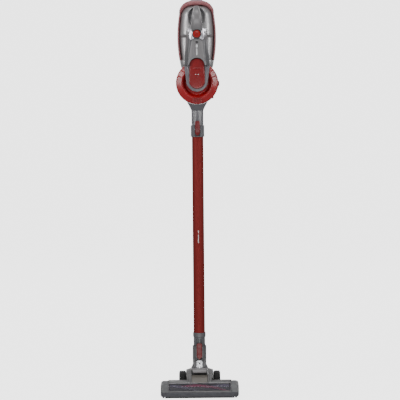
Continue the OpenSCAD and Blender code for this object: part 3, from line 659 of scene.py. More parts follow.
def window():
    """The clear curved window over the brush, with a white strip along its top edge that is a painted
    highlight.
    """
    outline = brush_arc(WINDOW_R, 57.5, 171.5, 36) + brush_arc(CHAMBER_R + 0.15, 171.5, 57.5, 36)
    pane = prism("brush_window_pane", outline, "X", -INNER_X + 0.3, INNER_X - 0.3, CLEAR, bevel=0.4)
    place(pane, "head", "clear_window", "brush_window")
    # The white strip along the window's top edge is a painted highlight, standing for light caught by the
    # edge.
    rim = brush_arc(WINDOW_R + 0.8, 57, 72, 6) + brush_arc(WINDOW_R, 72, 57, 6)
    place(prism("window_painted_highlight_strip", rim, "X", -INNER_X + 2.5, INNER_X - 2.5, PRINT_AND_HIGHLIGHT_WHITE, bevel=0.3), "head",
          "cap_plastic")
    for sign, side in ((-1, "left"), (1, "right")):
        dome = [(0.01, -2.1)] + arc(0, 0, 2.1, -80, 80, 12) + [(0.01, 2.1)]
        y, z = brush_arc(WINDOW_R + 0.4, 63, 63, 1)[0]
        place(lathe(f"window_catch_{side}", dome, "X", (sign * (INNER_X - 5.5), y, z), ABS_BLACK, 32), "head",
              "bumper_rubber")


def bristle_rows():
    """Helical rows of cut nylon tufts, pink and grey in turn, standing in the brush core."""
    low, high = span("brush_bristles")
    tip = (high.z - low.z) / 2
    core = 10.8
    tufts = 86
    for row, (material, shade) in enumerate([(BRISTLE_PINK, "pink"), (BRISTLE_GREY, "grey")] * 2):
        points, faces = [], []
        for t in range(tufts):
            share = (t + 0.5) / tufts
            x = low.x + 1 + (high.x - low.x - 2) * share
            angle = math.pi * share + row * math.pi / 2
            for _ in range(12):
                lean_x, lean_a = rng.uniform(-1.1, 1.1), rng.uniform(-0.2, 0.2)
                foot_x, foot_a = rng.uniform(-0.9, 0.9), rng.uniform(-0.14, 0.14)
                length = tip - rng.uniform(0.0, 0.9)
                base = len(points)
                for radius, dx, da, width in ((core, foot_x, foot_a, 0.26), (length, lean_x, lean_a, 0.2)):
                    for k in range(3):
                        turn = 2 * math.pi * k / 3
                        px = x + dx + width * math.cos(turn)
                        pa = angle + da + width * math.sin(turn) / radius
                        points.append((px, BRUSH.y + radius * math.cos(pa), BRUSH.z + radius * math.sin(pa)))
                for k in range(3):
                    n = (k + 1) % 3
                    faces.append((base + k, base + n, base + 3 + n, base + 3 + k))
                faces += [(base + 2, base + 1, base), (base + 3, base + 4, base + 5)]
        rows = make(f"bristle_row_{row + 1}_{shade}", points, faces, material)
        place(rows, "brush", "bristle_nylon", *(["brush_bristles"] if row == 0 else []))


def brush_body():
    """The brush core with a raised spiral rib under each row of tufts."""
    low, high = span("brush_core")
    length = 2 * (INNER_X - 3.7)
    rings = []
    for i in range(121):
        x = -length / 2 + length * i / 120
        ring = []
        for k in range(96):
            a = 2 * math.pi * k / 96
            phase = (a - math.pi * i / 120) * 4
            radius = 10.1 + 0.8 * max(0, math.cos(phase)) ** 6
            ring.append((x, BRUSH.y + radius * math.cos(a), BRUSH.z + radius * math.sin(a)))
        rings.append(ring)
    core = skin("brush_core_spiral", rings, ABS_BLACK)
    place(core, "brush", "brush_plastic", "brush_core")
    for sign, side, reach in ((-1, "left", -low.x), (1, "right", high.x)):
        ends = sorted((sign * length / 2, sign * reach))
        shaft = lathe(f"brush_shaft_{side}", [(0.01, ends[0]), (3.0, ends[0]), (3.0, ends[1]),
                                              (0.01, ends[1])],
                      "X", (0, BRUSH.y, BRUSH.z), STEEL, 48)
        place(shaft, "brush", "steel")


def wheels():
    """Rubber tyres with round shoulders and three grooves, on five-spoke hubs."""
    for sign, side in ((-1, "left"), (1, "right")):
        body = f"{side}_wheel"
        width = TYRE_HIGH.x - TYRE_LOW.x
        radius = TYRE_HIGH.z - WHEEL.z
        x0 = TYRE_LOW.x
        tread = [(24.05, 0)] + [(r, h) for h, r in
                                [(y, x) for x, y in arc(radius - 6.5, 6.5, 6.5, 270, 350, 9)]]
        for groove in (width / 2 - 3.2, width / 2, width / 2 + 3.2):
            tread += [(radius, groove - 0.9), (radius - 0.9, groove - 0.5), (radius - 0.9, groove + 0.5),
                      (radius, groove + 0.9)]
        tread += [(x, y) for x, y in arc(radius - 6.5, width - 6.5, 6.5, 10, 90, 9)] + [(24.05, width)]
        profile = [(r, sign * (x0 + h)) for r, h in tread]
        tyre = lathe(f"{side}_tyre_grooved", profile, "X", (0, WHEEL.y, WHEEL.z), RUBBER, 96)
        place(tyre, body, "tyre_rubber", f"{side}_wheel_tyre")
        hub = [(2.56, 0.2), (24, 0.2), (24, width - 1.5), (21.5, width - 1.2), (19, width - 4.5),
               (7, width - 5.5), (6, width - 2.2), (2.56, width - 2.2)]

        def spokes(angle, r, h):
            if 7 < r < 20 and abs(h) > x0 + width - 8:
                h -= math.copysign(1.6 * (0.5 - 0.5 * math.cos(5 * angle)), h)
            return r, h

        rim = lathe(f"{side}_hub_dished", [(r, sign * (x0 + h)) for r, h in hub], "X",
                    (0, WHEEL.y, WHEEL.z), ABS_SOLE, 90, spokes)
        place(rim, body, "brush_plastic", f"{side}_wheel_hub")
        cap = lathe(f"{side}_hub_cap", [(0.01, sign * (x0 + width - 1.4)), (3.6, sign * (x0 + width - 1.2)),
                                        (4.6, sign * (x0 + width - 2.2)), (0.01, sign * (x0 + width - 2.2))],
                    "X", (0, WHEEL.y, WHEEL.z), ABS_BLACK, 48)
        place(cap, body, "brush_plastic")


# ---------------------------------------------------------------- swivel and neck

def cradle():
    """The silver swivel cradle: barrel, tapering riser, dark horns beside the neck, and two lugs."""
    barrel_r = 16.5
    half = -CRADLE_LOW.y
    barrel_x = EAR_IN - 0.4
    barrel = lathe("barrel", [(12.5, -barrel_x), (barrel_r - 0.8, -barrel_x), (barrel_r, -barrel_x + 0.8),
                              (barrel_r, barrel_x - 0.8), (barrel_r - 0.8, barrel_x), (12.5, barrel_x)],
                   "X", (0, PITCH.y, PITCH.z), SILVER_MID)
    riser = prism("riser", [(0, 59.5), (-12, 65.0), (-17.5, 66.2), (-half, 67.6), (-half, 77.4),
                            (-half + 1, 78.4), (half, 78.2), (26, 58)], "X", -22.2, 22.2, SILVER_MID)
    bulge(riser, lambda x, y, z: (x * (1 - 0.14 * (1 - ease(z, 60, 76)) * (1 - ease(y, -6, 4))), y, z))
    rounded(riser, 1.0)
    shoulder = prism("shoulder", [(-23, 77.4), (-23, 79.4), (-21, 81.5), (21, 81.5), (23, 79.4), (23, 77.4)],
                     "Y", -half, half, SILVER_MID, bevel=0.7)
    for part in (riser, shoulder):
        bake_modifiers(part)
        saddle = lathe("saddle", [(0.01, -15.2), (20.6, -15.2), (20.6, 15.2), (0.01, 15.2)], "Y",
                       (0, 0, SWIVEL.z), SILVER_MID, 128)
        cut(part, saddle)
    place(join("cradle_body", [barrel, riser, shoulder]), "cradle", "silver_plastic", "swivel_cradle")
    for sign, side in ((-1, "left"), (1, "right")):
        cheek = [(-12, 60), (-14, 76.4), (half - 1, 76.4), (half - 1, 60)]
        low, high = sorted((sign * 21.0, sign * barrel_x))
        place(prism(f"cradle_cheek_{side}", cheek, "X", low, high, ABS_BLACK, bevel=0.4), "cradle",
              "neck_plastic")
    # A black block in the mouth over the barrel is painted shadow, where the barrel lies in shade under the
    # riser.
    mouth = prism("mouth_painted_shadow", [(-1, 61.2), (-13.5, 61.4), (-15.5, 66.4), (-1, 66.4)], "X", -18.5, 18.5,
                  ABS_BLACK)
    place(mouth, "cradle", "neck_plastic")
    lug = superellipse(9.2, 12.4, 4, 64, (0, SWIVEL.z - 3.9))
    for name, low, high in (("front_lug", -half + 0.6, -15.2), ("rear_lug", 15.2, half)):
        place(prism(name, lug, "Y", low, high, CHROME, bevel=0.8, segments=4), "cradle", "silver_plastic")
    for sign, side in ((-1, "left"), (1, "right")):
        horn = [(sign * x, z) for x, z in [(25.6, 79.3), (23.4, 83.2), (21.7, 87.4), (20.4, 88.1),
                                           (19.3, 87.8)]]
        horn += [(sign * x, z) for x, z in arc(0, SWIVEL.z, 20.75, -23.5, -51.5, 8)]
        fin = sliced(prism(f"swivel_horn_{side}", horn, "Y", -half + 0.3, half - 0.3, ABS_NECK), 1, 12)
        bulge(fin, lambda x, y, z: (x - sign * 4.4 * ease(abs(y), 4, half) * ease(abs(x), 20, 25.6),
                                    y * (1 - 0.12 * ease(z, 80, 88)), z))
        rounded(fin, 0.7)
        place(fin, "cradle", "neck_plastic")
        rings = []
        for z, swell in ((-15.2, 0.2), (-14.6, 0.8), (-13.4, 1), (-8.4, 1), (-7.8, 0.35), (-6.4, 0.35),
                         (-5.8, 1), (4.0, 1), (5.4, 0.8), (6.0, 0.2)):
            rings.append([(sign * 4.6 + 3.6 * math.cos(math.pi * k / 16), -half + 1.0 - 2.2 * swell *
                           math.sin(math.pi * k / 16) ** 0.8, SWIVEL.z + z) for k in range(17)])
        place(skin(f"lug_flute_{side}", rings, CHROME, smooth=50), "cradle", "silver_plastic")
    head = lathe("swivel_pin_head", [(0.01, 0), (1.2, 0.1), (1.8, 0.5), (2.0, 2.4), (0.01, 2.4)], "Y",
                 (0, -half - 1.2, SWIVEL.z), ABS_BLACK, 40)
    place(head, "cradle", "steel")


def neck():
    """The dark neck, a softened copy of its CAD shape, with flat side strips moulded on."""
    place(softened("neck_shell", "neck_casting", ABS_NECK, 0.6), "neck", "neck_plastic", "neck_shell")
    for sign, side in ((-1, "left"), (1, "right")):
        rings = []
        for z, swell in ((104, 0.0), (106, 0.8), (112, 1.0), (138, 1.0), (142, 0.8), (144, 0.0)):
            ring = []
            for k in range(9):
                a = math.radians(-14 + 28 * k / 8)
                lift = NECK_R - 0.25 + 0.55 * swell * math.cos(math.pi * (k / 8 - 0.5)) ** 0.5
                ring.append((sign * lift * math.cos(a), lift * math.sin(a), z))
            ring.append((sign * (NECK_R - 1.5), 0, z))
            rings.append(ring)
        place(skin(f"neck_side_strip_{side}", rings, SILVER_DARK, smooth=40), "neck", "neck_plastic")


def latch(node, body, low, pivot, high, half):
    """A red release button with a domed thumb pad, and grip ribs towards its tongue."""
    front, back = -24.8, -18.8
    rows = []
    for i in range(33):
        z = low + (high - low) * i / 32
        depth = min(1, 0.05 + math.sin(math.pi / 2 * min(1, (z - low) / (1.35 * half))) ** 0.8)
        taper = 1 - 0.28 * ease(z, high - 5, high)
        rib = 0.45 * max(0, math.sin((z - pivot) * 2 * math.pi / 3.4)) if pivot + 3 < z < high - 4 else 0
        pad = -0.9 * math.exp(-((z - (low + pivot) / 2) / 6.5) ** 2)
        ring = []
        for x, y in superellipse(half * depth * taper, (back - front) / 2, 4.2, 36):
            face = 1 if y < 0 else 0
            ring.append((x, (front + back) / 2 + y - (rib + pad) * face * (abs(y) / 3), z))
        rows.append(ring)
    button = skin(f"{body}_cap", rows, RED_LATCH, smooth=50)
    boss = lathe("boss", [(1.25, -half + 0.2), (2.6, -half + 0.2), (2.6, -3), (1.25, -3)], "X",
                 (0, -20, pivot), RED_LATCH, 40)
    boss_right = lathe("boss_right", [(1.25, 3), (2.6, 3), (2.6, half - 0.2), (1.25, half - 0.2)], "X",
                       (0, -20, pivot), RED_LATCH, 40)
    slot_cut = lathe("slot", [(0.01, -3), (2.9, -3), (2.9, 3), (0.01, 3)], "X", (0, -20, pivot), RED_LATCH,
                     40)
    hole = lathe("hole", [(0.01, -12), (1.25, -12), (1.25, 12), (0.01, 12)], "X", (0, -20, pivot), RED_LATCH,
                 32)
    cut(button, slot_cut, hole, smooth=50)
    place(join(f"{body}_latch", [button, boss, boss_right]), body, "red_plastic", node)


def latches():
    low, high = span("neck_latch_button")
    latch("neck_latch_button", "neck_button", low.z, axis_of("neck_latch_press").z, high.z, 8.2)
    low, high = span("wand_latch_button")
    latch("wand_latch_button", "wand_button", low.z, axis_of("wand_latch_press").z, high.z, 7.2)


# ---------------------------------------------------------------- wand

def wand():
    """Tube, lower fitting with grip flutes and a collar, and upper fitting with a light rim line."""
    wall = 1.0
    z0, z1 = TUBE_LOW.z, TUBE_HIGH.z
    tube = lathe("wand_tube_drawn", [(TUBE_R - wall, z0), (TUBE_R - 0.3, z0), (TUBE_R, z0 + 0.3),
                                     (TUBE_R, z1 - 0.3), (TUBE_R - 0.3, z1), (TUBE_R - wall, z1)], "Z",
                                     (0, 0, 0), TUBE_RED, 128)
    place(tube, "wand", "red_tube", "wand_tube")
    bottom = span("wand_lower_fitting")[0].z
    collar = 173.0
    profile = [(12.5, bottom), (14.4, bottom), (14.7, bottom + 0.6), (14.7, NECK_TOP + 0.3),
               (16.6, NECK_TOP + 0.3), (FITTING_R, NECK_TOP + 1)]
    steps = 26
    profile += [(FITTING_R, NECK_TOP + 1 + (collar - NECK_TOP - 2) * i / steps) for i in range(1, steps + 1)]
    profile += [(18.3, collar - 0.2), (19, collar + 0.6), (19, z0 - 1.0), (18.4, z0 - 0.1), (17.4, z0),
                (15.9, z0), (15.9, z0 + 30), (12.5, z0 + 30)]

    def flutes(angle, r, z):
        front = math.degrees(angle) - 270
        if abs(r - FITTING_R) < 0.01 and NECK_TOP + 1.5 < z < collar - 2:
            fade = ease(z, NECK_TOP + 1.5, NECK_TOP + 4) * (1 - ease(z, collar - 9, collar - 2))
            r -= 1.5 * fade * max(max(0, 1 - ((front - mark) / 3.6) ** 2) for mark in (-25, -8.5, 8.5, 25))
        return r, z

    fitting = lathe("wand_lower_fitting_fluted", profile, "Z", (0, 0, 0), ABS_NECK, 240, flutes)
    place(fitting, "wand", "neck_plastic", "wand_lower_fitting")
    for k, angle in enumerate((-25, -8.5, 8.5, 25)):
        inlay = prism(f"grip_inlay_{k + 1}", superellipse(0.95, 8.6, 3, 28, (0, collar - 10.4)), "Y",
                      -FITTING_R + 0.2, -FITTING_R + 2.0, ABS_BLACK)
        turn = Matrix.Rotation(math.radians(angle), 3, "Z")
        place(bulge(inlay, lambda x, y, z: turn @ Vector((x, y, z))), "wand", "neck_plastic")
    place(softened("wand_upper_fitting", "wand_upper_fitting_moulded", ABS_INLET, 0.6), "wand",
          "neck_plastic", "wand_upper_fitting")
    seam = lathe("upper_fitting_seam", [(17.7, WAND_TOP - 0.8), (19.6, WAND_TOP - 0.8),
                                        (19.6, WAND_TOP - 0.1), (17.7, WAND_TOP + 0.1)], "Z", (0, 0, 0),
                                        ABS_BLACK, 96)
    place(seam, "wand", "neck_plastic")
    rim = lathe("upper_fitting_rim", [(17.1, z1 - 1.2), (19.8, z1 - 1.2), (20.2, z1 - 0.8), (20.2, z1 - 0.2),
                                      (19.8, z1 + 0.2), (17.1, z1 + 0.2)], "Z", (0, 0, 0), ABS_INLET, 96)
    place(rim, "wand", "cap_plastic")


def tube_mark():
    """A plain white bar printed up the front of the tube, in place of lettering."""
    middle = (TUBE_LOW.z + TUBE_HIGH.z) / 2 - 2
    for k, (offset, length) in enumerate(((-9, 26), (12, 8))):
        rows = []
        for i in range(25):
            z = middle + offset - length / 2 + length * i / 24
            end = min(1, math.sin(math.pi * (i + 0.4) / 24.8) * 4)
            row = []
            for j in range(7):
                a = math.radians(270 + (j - 3) * 1.35 * end)
                row.append(((TUBE_R + 0.06) * math.cos(a), (TUBE_R + 0.06) * math.sin(a), z))
            rows.append(row)
        place(sheet(f"tube_mark_{k + 1}", rows, 0.06, PRINT_AND_HIGHLIGHT_WHITE), "wand", "pale_shell")


# ---------------------------------------------------------------- dust cup

def inlet_section(z, half_x, y_low, y_high, power, flat, steps=180):
    """One level of the inlet: a rounded oblong with a long flat on each side of its front."""
    middle = (y_low + y_high) / 2
    half_y = (y_high - y_low) / 2
    ring = []
    for i in range(steps):
        a = 2 * math.pi * i / steps
        c, s = math.cos(a), math.sin(a)
        radius = ((abs(c) / half_x) ** power + (abs(s) / half_y) ** power) ** (-1 / power)
        for mark in (-90 - 27, -90 + 27, -90 - 68, -90 + 68):
            lean = math.cos(a - math.radians(mark))
            if lean > 0.5:
                radius = min(radius, flat / lean)
        ring.append((radius * c, middle + radius * s, z))
    return ring


def inlet():
    """The grey inlet: a neck with long flats that opens into a funnel under the ring."""
    bottom, top = span("inlet_neck")
    neck_top = 844.0
    base = WAND_TOP + 0.3
    rings = []
    for z, half in ((base, FITTING_R - 0.4), (base + 0.6, FITTING_R + 0.3), (neck_top - 6, FITTING_R + 0.3),
                    (neck_top, FITTING_R + 0.5)):
        rings.append(inlet_section(z, half, -half, half, 2.1, FITTING_R * 0.962))
    for i in range(1, 15):
        t = i / 14
        z = neck_top + (top.z - neck_top) * t
        spread = t ** 1.2
        half = FITTING_R + 0.5 + (30.4 - FITTING_R) * spread
        rings.append(inlet_section(z, half, -FITTING_R - 0.5 - (36.5 - FITTING_R) * spread,
                                   FITTING_R + 5.5 * spread, 2.1 + 1.6 * t, FITTING_R * 0.962 + 60 * spread))
    funnel = skin("inlet_funnel", rings, ABS_INLET, smooth=24)
    ring_cut = lathe("ring_cut", [(0.01, -60), (RING_R + 0.3, -60), (RING_R + 0.3, 60), (0.01, 60)], "Y",
                     (0, 0, RING_Z), ABS_INLET, 160)
    bore = lathe("bore", [(0.01, base - 5), (12.5, base - 5), (12.5, 900), (0.01, 900)], "Z", (0, 0, 0),
                 ABS_INLET, 64)
    cut(funnel, ring_cut, bore, smooth=24)
    spigot = lathe("spigot", [(12.5, bottom.z), (14.3, bottom.z), (14.7, bottom.z + 0.5), (14.7, base),
                              (12.5, base)],
                   "Z", (0, 0, 0), ABS_INLET)
    place(join("inlet_neck_moulded", [funnel, spigot]), "cup_unit", "grey_plastic", "inlet_neck")


def ring_wave(angle, radius, y):
    """Radial grooves in the ring's bevel, and fine ribs in its recess."""
    degrees = math.degrees(angle) % 360
    if radius > 45.5 and y < RING_Y + 10.5:
        for mark in (20, 39, 141, 160):
            gap = abs((degrees - mark + 180) % 360 - 180)
            y += 1.5 * max(0, 1 - (gap / 1.3) ** 2) * ease(radius, 45.5, 47)
    if 22 < radius < 41 and y < RING_Y + 11.5:
        fade = ease(radius, 23, 27) * (1 - ease(radius, 37.5, 40.5))
        y -= 0.9 * fade * max(0, math.cos(angle * 60)) ** 2
    return radius, y


def red_ring():
    """The glossy ring round the cup's face: bevelled rim, polished inner lip and ribbed recess."""
    y = RING_Y
    profile = [(16, y + 11)] + [(16 + 17.6 * i / 12, y + 11 + 0.1 * math.sin(i)) for i in range(1, 13)]
    profile += [(33.6 + 7.4 * i / 8, y + 11 - 9.2 * (i / 8) ** 1.1) for i in range(1, 9)]
    profile += [(41.0 + 3.4 * i / 6, y + 1.8 - 1.5 * (i / 6) ** 0.95) for i in range(1, 7)]
    profile += [(44.9, y + 0.1), (45.6, y), (46.3, y + 0.3)]
    profile += [(46.3 + 12.5 * i / 10, y + 0.3 + 6.0 * (i / 10) ** 1.04) for i in range(1, 11)]
    profile += [(59.9, y + 7.0), (61, y + 8.2), (61.7, y + 9.6), (RING_R, y + 11), (RING_R, y + 19),
                (RING_R - 0.4, y + 19.5), (RING_R - 0.4, y + 20.5), (RING_R, y + 21),
                (RING_R, RING_HIGH.y - 0.4), (RING_R - 0.4, RING_HIGH.y), (59.5, RING_HIGH.y),
                (59.5, y + 11), (57, y + 9), (49, y + 5.4), (43, y + 5), (35, y + 13.5), (16, y + 13.5)]
    ring = lathe("cup_ring_polished", profile, "Y", (0, 0, RING_Z), RED_GLOSS, 720, ring_wave, smooth=40)
    place(ring, "cup_unit", "red_plastic", "cup_ring")
    foot = RING_Z - RING_R
    outline = [(-14, foot + 5.5), (-12.8, foot + 19), (12.8, foot + 19), (14, foot + 5.5), (9, foot + 1.4),
               (-9, foot + 1.4)]
    block = prism("ring_foot_block", outline, "Y", RING_Y - 1.2, RING_Y + 14, RED_GLOSS, bevel=1.2,
                  segments=4)
    place(block, "cup_unit", "red_plastic")
    for k in range(5):
        x = -9 + 4.5 * k
        rib = prism(f"ring_foot_rib_{k + 1}", superellipse(0.9, 7.2, 5, 24, (x, foot + 11.5)), "Y",
                    RING_Y - 2.2, RING_Y, RED_LATCH, bevel=0.3)
        place(rib, "cup_unit", "red_plastic")
    angle = math.radians(-44)
    lug = prism("ring_lug", superellipse(4.2, 3.2, 4, 28, (61 * math.cos(angle),
                                                           RING_Z + 61 * math.sin(angle))),
                "Y", RING_Y + 12, RING_HIGH.y, RED_LATCH, bevel=0.6)
    place(lug, "cup_unit", "red_plastic")


def u_outline(half, top_half, top, centre_z, steps=32):
    return arc(0, centre_z, half, 180, 360, steps) + [(top_half, top), (-top_half, top)]


def tongue():
    """The grey U-shaped frame in front of the ring, and the pin that the release panel turns on."""
    y0, y1 = FRAME_LOW.y, FRAME_HIGH.y
    z = FRAME_LOW.z + 31.7
    outer = prism("tongue_frame_rim", u_outline(31.7, 37.5, SEAM_Z, z), "Y", y0, y1, ABS_FRAME, bevel=1.8,
                  segments=4)
    bake_modifiers(outer)
    inner = prism("inner", u_outline(23.8, 24.0, SEAM_Z + 5, z), "Y", y0 - 5, y1 - 2.2, ABS_FRAME)
    cut(outer, inner)
    place(outer, "cup_unit", "grey_plastic", "tongue_frame")
    place(softened("release_pin", "release_pin_drawn", STEEL, 0.1), "cup_unit", "steel", "release_pin")


def panel():
    """The long red release panel: a shallow crown, a finger groove, two white dots that are painted
    highlights, and a small moulded mark.
    """
    z_low, z_top = PANEL_LOW.z, PANEL_HIGH.z
    y0 = PANEL_LOW.y
    centre = z_low + 23.2
    rows = []
    for i in range(73):
        t = i / 72
        z = z_low + (z_top - z_low) * t
        if z < centre:
            half = math.sqrt(max(0.0, 23.2 ** 2 - (centre - z) ** 2))
        else:
            half = 23.2 - 3.0 * (z - centre) / (z_top - centre)
            crown = z - (z_top - 19)
            if crown > 0:
                half *= math.sqrt(max(0.0, 1 - (crown / 19.0) ** 2.6))
        half = max(half, 0.4)
        ring = []
        for x, y in superellipse(half, 2.0, 3.2, 64):
            lift = 1.9 * (1 - (x / 25) ** 2) * math.sin(math.pi * t) ** 0.5
            groove = 1.1 * math.exp(-((z - 965.5) / 1.3) ** 2) * (1 - ease(abs(x), 10, 12))
            face = 1 if y < 0 else 0
            ring.append((x, y0 + 2.0 + y - lift * face + groove * face, z))
        rows.append(ring)
    shell = skin("release_panel_crowned", rows, RED_PANEL, smooth=50)
    pin = axis_of("cup_release_press")
    boss = lathe("boss", [(1.26, -12), (2.5, -12), (2.5, 12), (1.26, 12)], "X", (0, pin.y, pin.z), RED_PANEL,
                 40)
    place(join("release_panel_moulded", [shell, boss]), "cup_release", "red_plastic", "release_panel")
    # The two white dots are painted highlights, standing for the lamps' glints on the panel's crown.
    for k, x in enumerate((-3.8, 3.8)):
        dot = lathe(f"panel_painted_highlight_{k + 1}", [(0.01, -0.6), (1.4, -0.3), (2.0, 0.4), (0.01, 0.4)], "Y",
                    (x, y0 - 1.6, 949), PRINT_AND_HIGHLIGHT_WHITE, 32)
        place(dot, "cup_release", "pale_shell")
    mark = prism("panel_mark", superellipse(2.6, 2.0, 3, 32, (0, 941.5)), "Y", y0 - 2.0, y0 - 1.0, RED_LATCH,
                 bevel=0.25)
    place(mark, "cup_release", "red_plastic")


def door_catch():
    place(softened("door_latch", "door_catch_moulded", RED_LATCH, 0.7), "door_catch", "red_plastic",
          "door_latch")


def cup_shell():
    """The clear cup and its rear door, copies of their CAD shapes with moulded edges."""
    place(softened("dust_cup", "dust_cup_moulded", SMOKED, 0.5), "cup_unit", "smoked_clear", "dust_cup")
    door = softened("cup_door", "cup_door_moulded", ABS_NECK, 0.9)
    place(door, "rear_door", "smoked_clear", "cup_door")
    y = 53.0
    for k, radius in enumerate((22, 36, 50)):
        rib = lathe(f"door_rib_{k + 1}", [(radius - 0.9, y - 0.3), (radius - 0.6, y + 0.7),
                                          (radius + 0.6, y + 0.7), (radius + 0.9, y - 0.3)], "Y",
                                          (0, 0, RING_Z), ABS_NECK, 120)
        place(rib, "rear_door", "smoked_clear")


# ---------------------------------------------------------------- power unit

def saddle_cutter(low, high, material):
    """A round cutter that leaves room for the cup's ring and shell."""
    return lathe("saddle", [(0.01, low), (SADDLE_R, low), (SADDLE_R, high), (0.01, high)], "Y",
                 (0, 0, RING_Z), material, 160)


def panel_recess(material):
    """A cutter for the round-topped opening that the release panel's end sits in."""
    outline = arc(0, 974, 23.4, 180, 360, 4) + arc(0, 974.5, 22.8, 0, 180, 36)
    return prism("recess", outline, "Y", -80, -45.5, material)


def side_sag(z):
    """How far the long side curve has fallen back at a height."""
    return SIDE_R - math.sqrt(SIDE_R ** 2 - (z - BODY_MID) ** 2)


def crown_half(z):
    """Half width of the silver shell at a height, with the wider corners under the band's ends."""
    if z > CROWN_TURN:
        return 12 + math.sqrt(max(0.0, CROWN_CORNER_R ** 2 - (z - CROWN_TURN) ** 2))
    wide = 1 - ease(z, 989, 996)
    corner = 0.0 if z > 981 else 6.0 * (1 - math.sqrt(max(0.0, 1 - ((981 - z) / 10) ** 2)))
    return 50 + 6.2 * wide - corner - side_sag(z)


def crown_close(z):
    """How much of the shell's depth is left at a height, from all of it to none at the top."""
    if z <= CROWN_TURN:
        return 1.0
    return math.sqrt(max(0.0, 1 - ((z - CROWN_TURN) / CROWN_CORNER_R) ** 2.4))


def trough_share(x, z):
    """1 in the finger trough behind the handle, 0 outside it, and smooth between."""
    return 1 - ease(math.hypot(x / 25.5, (z - 1116) / 33), 0.74, 1.0)


def crown_depth(x, z):
    """How far the silver shell stands in front of its rear edge."""
    shoulder = 38 - 3 * ease(z, 1072, 1100)
    wing = 27 + 3 * (1 - ease(z, 985, 1010))
    step = ease(z, 1058, 1066)
    return wing + (shoulder - wing) * step - 17 * trough_share(x, z)


def crown_rows(levels):
    """Rows of points over the silver shell's front."""
    rows = []
    for z in levels:
        half = crown_half(z)
        close = max(crown_close(z), 0.03)
        row = []
        for k in range(81):
            a = math.pi * (k / 80 - 0.5)
            x = half * math.copysign(abs(math.sin(a)) ** (2 / SHELL_FULL), a)
            rise = max(0.0, math.cos(a)) ** (2 / 2.7)
            row.append((x, 5.8 - crown_depth(x, z) * rise * close, z))
        rows.append(row)
    return rows


def front_crown():
    """The silver front shell, without its pod and handle: full shoulders round a finger trough."""
    base = SEAM_Z - 2
    levels = [base + (CROWN_TURN - base) * i / 72 for i in range(73)]
    levels += [CROWN_TURN + CROWN_CORNER_R * math.sin(math.radians(a)) for a in range(5, 91, 5)]
    shell = sheet("front_shell_crown", crown_rows(levels), 2.3, SILVER, smooth=40)
    saddle = saddle_cutter(RING_Y - 0.5, 60, SILVER)
    recess = prism("recess", u_outline(24.2, 24.2, 998, 940), "Y", -70, -30, SILVER)
    cut(shell, saddle, recess, smooth=40)
    place(shell, "power_unit", "silver_shell", "front_shell")
    # A dark sheet laid just over the finger trough is painted shade, darkening the trough where shade falls
    # behind the handle.
    points, faces = [], []
    steps = 48
    for j in range(13):
        for i in range(steps):
            a = 2 * math.pi * i / steps
            x, z = 21.5 * j / 12 * math.cos(a), 1116 + 27.8 * j / 12 * math.sin(a)
            rise = max(0.0, 1 - (abs(x) / crown_half(z)) ** SHELL_FULL) ** (1 / 2.7)
            points.append((x, 5.8 - crown_depth(x, z) * rise * crown_close(z) - 0.35, z))
    for j in range(12):
        for i in range(steps):
            n = (i + 1) % steps
            faces.append((j * steps + i, j * steps + n, (j + 1) * steps + n, (j + 1) * steps + i))
    place(make("finger_trough_painted_shade", points, faces, ABS_NECK, smooth=60), "power_unit", "neck_plastic")
    skirt = [(x, z) for x, z in arc(0, RING_Z, SADDLE_R + 0.2, 128, 52, 40)]
    skirt += [(x, z) for x, z in arc(0, RING_Z, SADDLE_R + 2.8, 52, 128, 40)]
    place(prism("saddle_plate", skirt, "Y", -22, -4, ABS_NECK, bevel=0.4), "power_unit", "neck_plastic")


def pod_ring(z, front_half, side_half, y_front, y_side):
    """One level of the pod: a flat front, two wide facets and short sides."""
    return [(-side_half, -6, z), (-side_half, y_side, z), (-front_half, y_front, z), (front_half, y_front, z),
            (side_half, y_side, z), (side_half, -6, z)]


def pod():
    """The raised pod under the handle: dark side facets with a flat grey tongue between them."""
    base = SEAM_Z + 0.3
    rings = [pod_ring(base, 26.0, 37.4, -58.4, -44), pod_ring(1004, 24.2, 35.4, -59.2, -43),
             pod_ring(1040, 22.4, 32.4, -60.0, -41), pod_ring(1056, 21.8, 30.6, -60.6, -40),
             pod_ring(1072, 24.0, 30.2, -60.0, -38), pod_ring(1080, 21.5, 28.0, -56, -35)]
    body = skin("pod_body", rings, SILVER_DARK, bevel=1.4, segments=4)
    bake_modifiers(body)
    cut(body, saddle_cutter(RING_Y - 0.5, 60, SILVER_DARK), panel_recess(SILVER_DARK))
    place(body, "power_unit", "silver_shell")
    outline = [(-23.6, base + 2), (-21.5, 1004), (-17.0, 1036)] + arc(0, 1036.5, 16.6, 178, 2, 28) + [
        (17.0, 1036), (21.5, 1004), (23.6, base + 2)]
    tongue_panel = prism("pod_tongue", outline, "Y", -61.6, -57.5, SILVER_MID, bevel=0.7)
    bake_modifiers(tongue_panel)
    cut(tongue_panel, panel_recess(SILVER_MID))
    place(tongue_panel, "power_unit", "silver_shell")
    rim = prism("recess_lining", arc(0, 974.5, 22.7, 0, 180, 36) + arc(0, 974.5, 21.9, 180, 0, 36), "Y",
                -58.6, -46, SILVER_DARK)
    place(rim, "power_unit", "silver_shell")


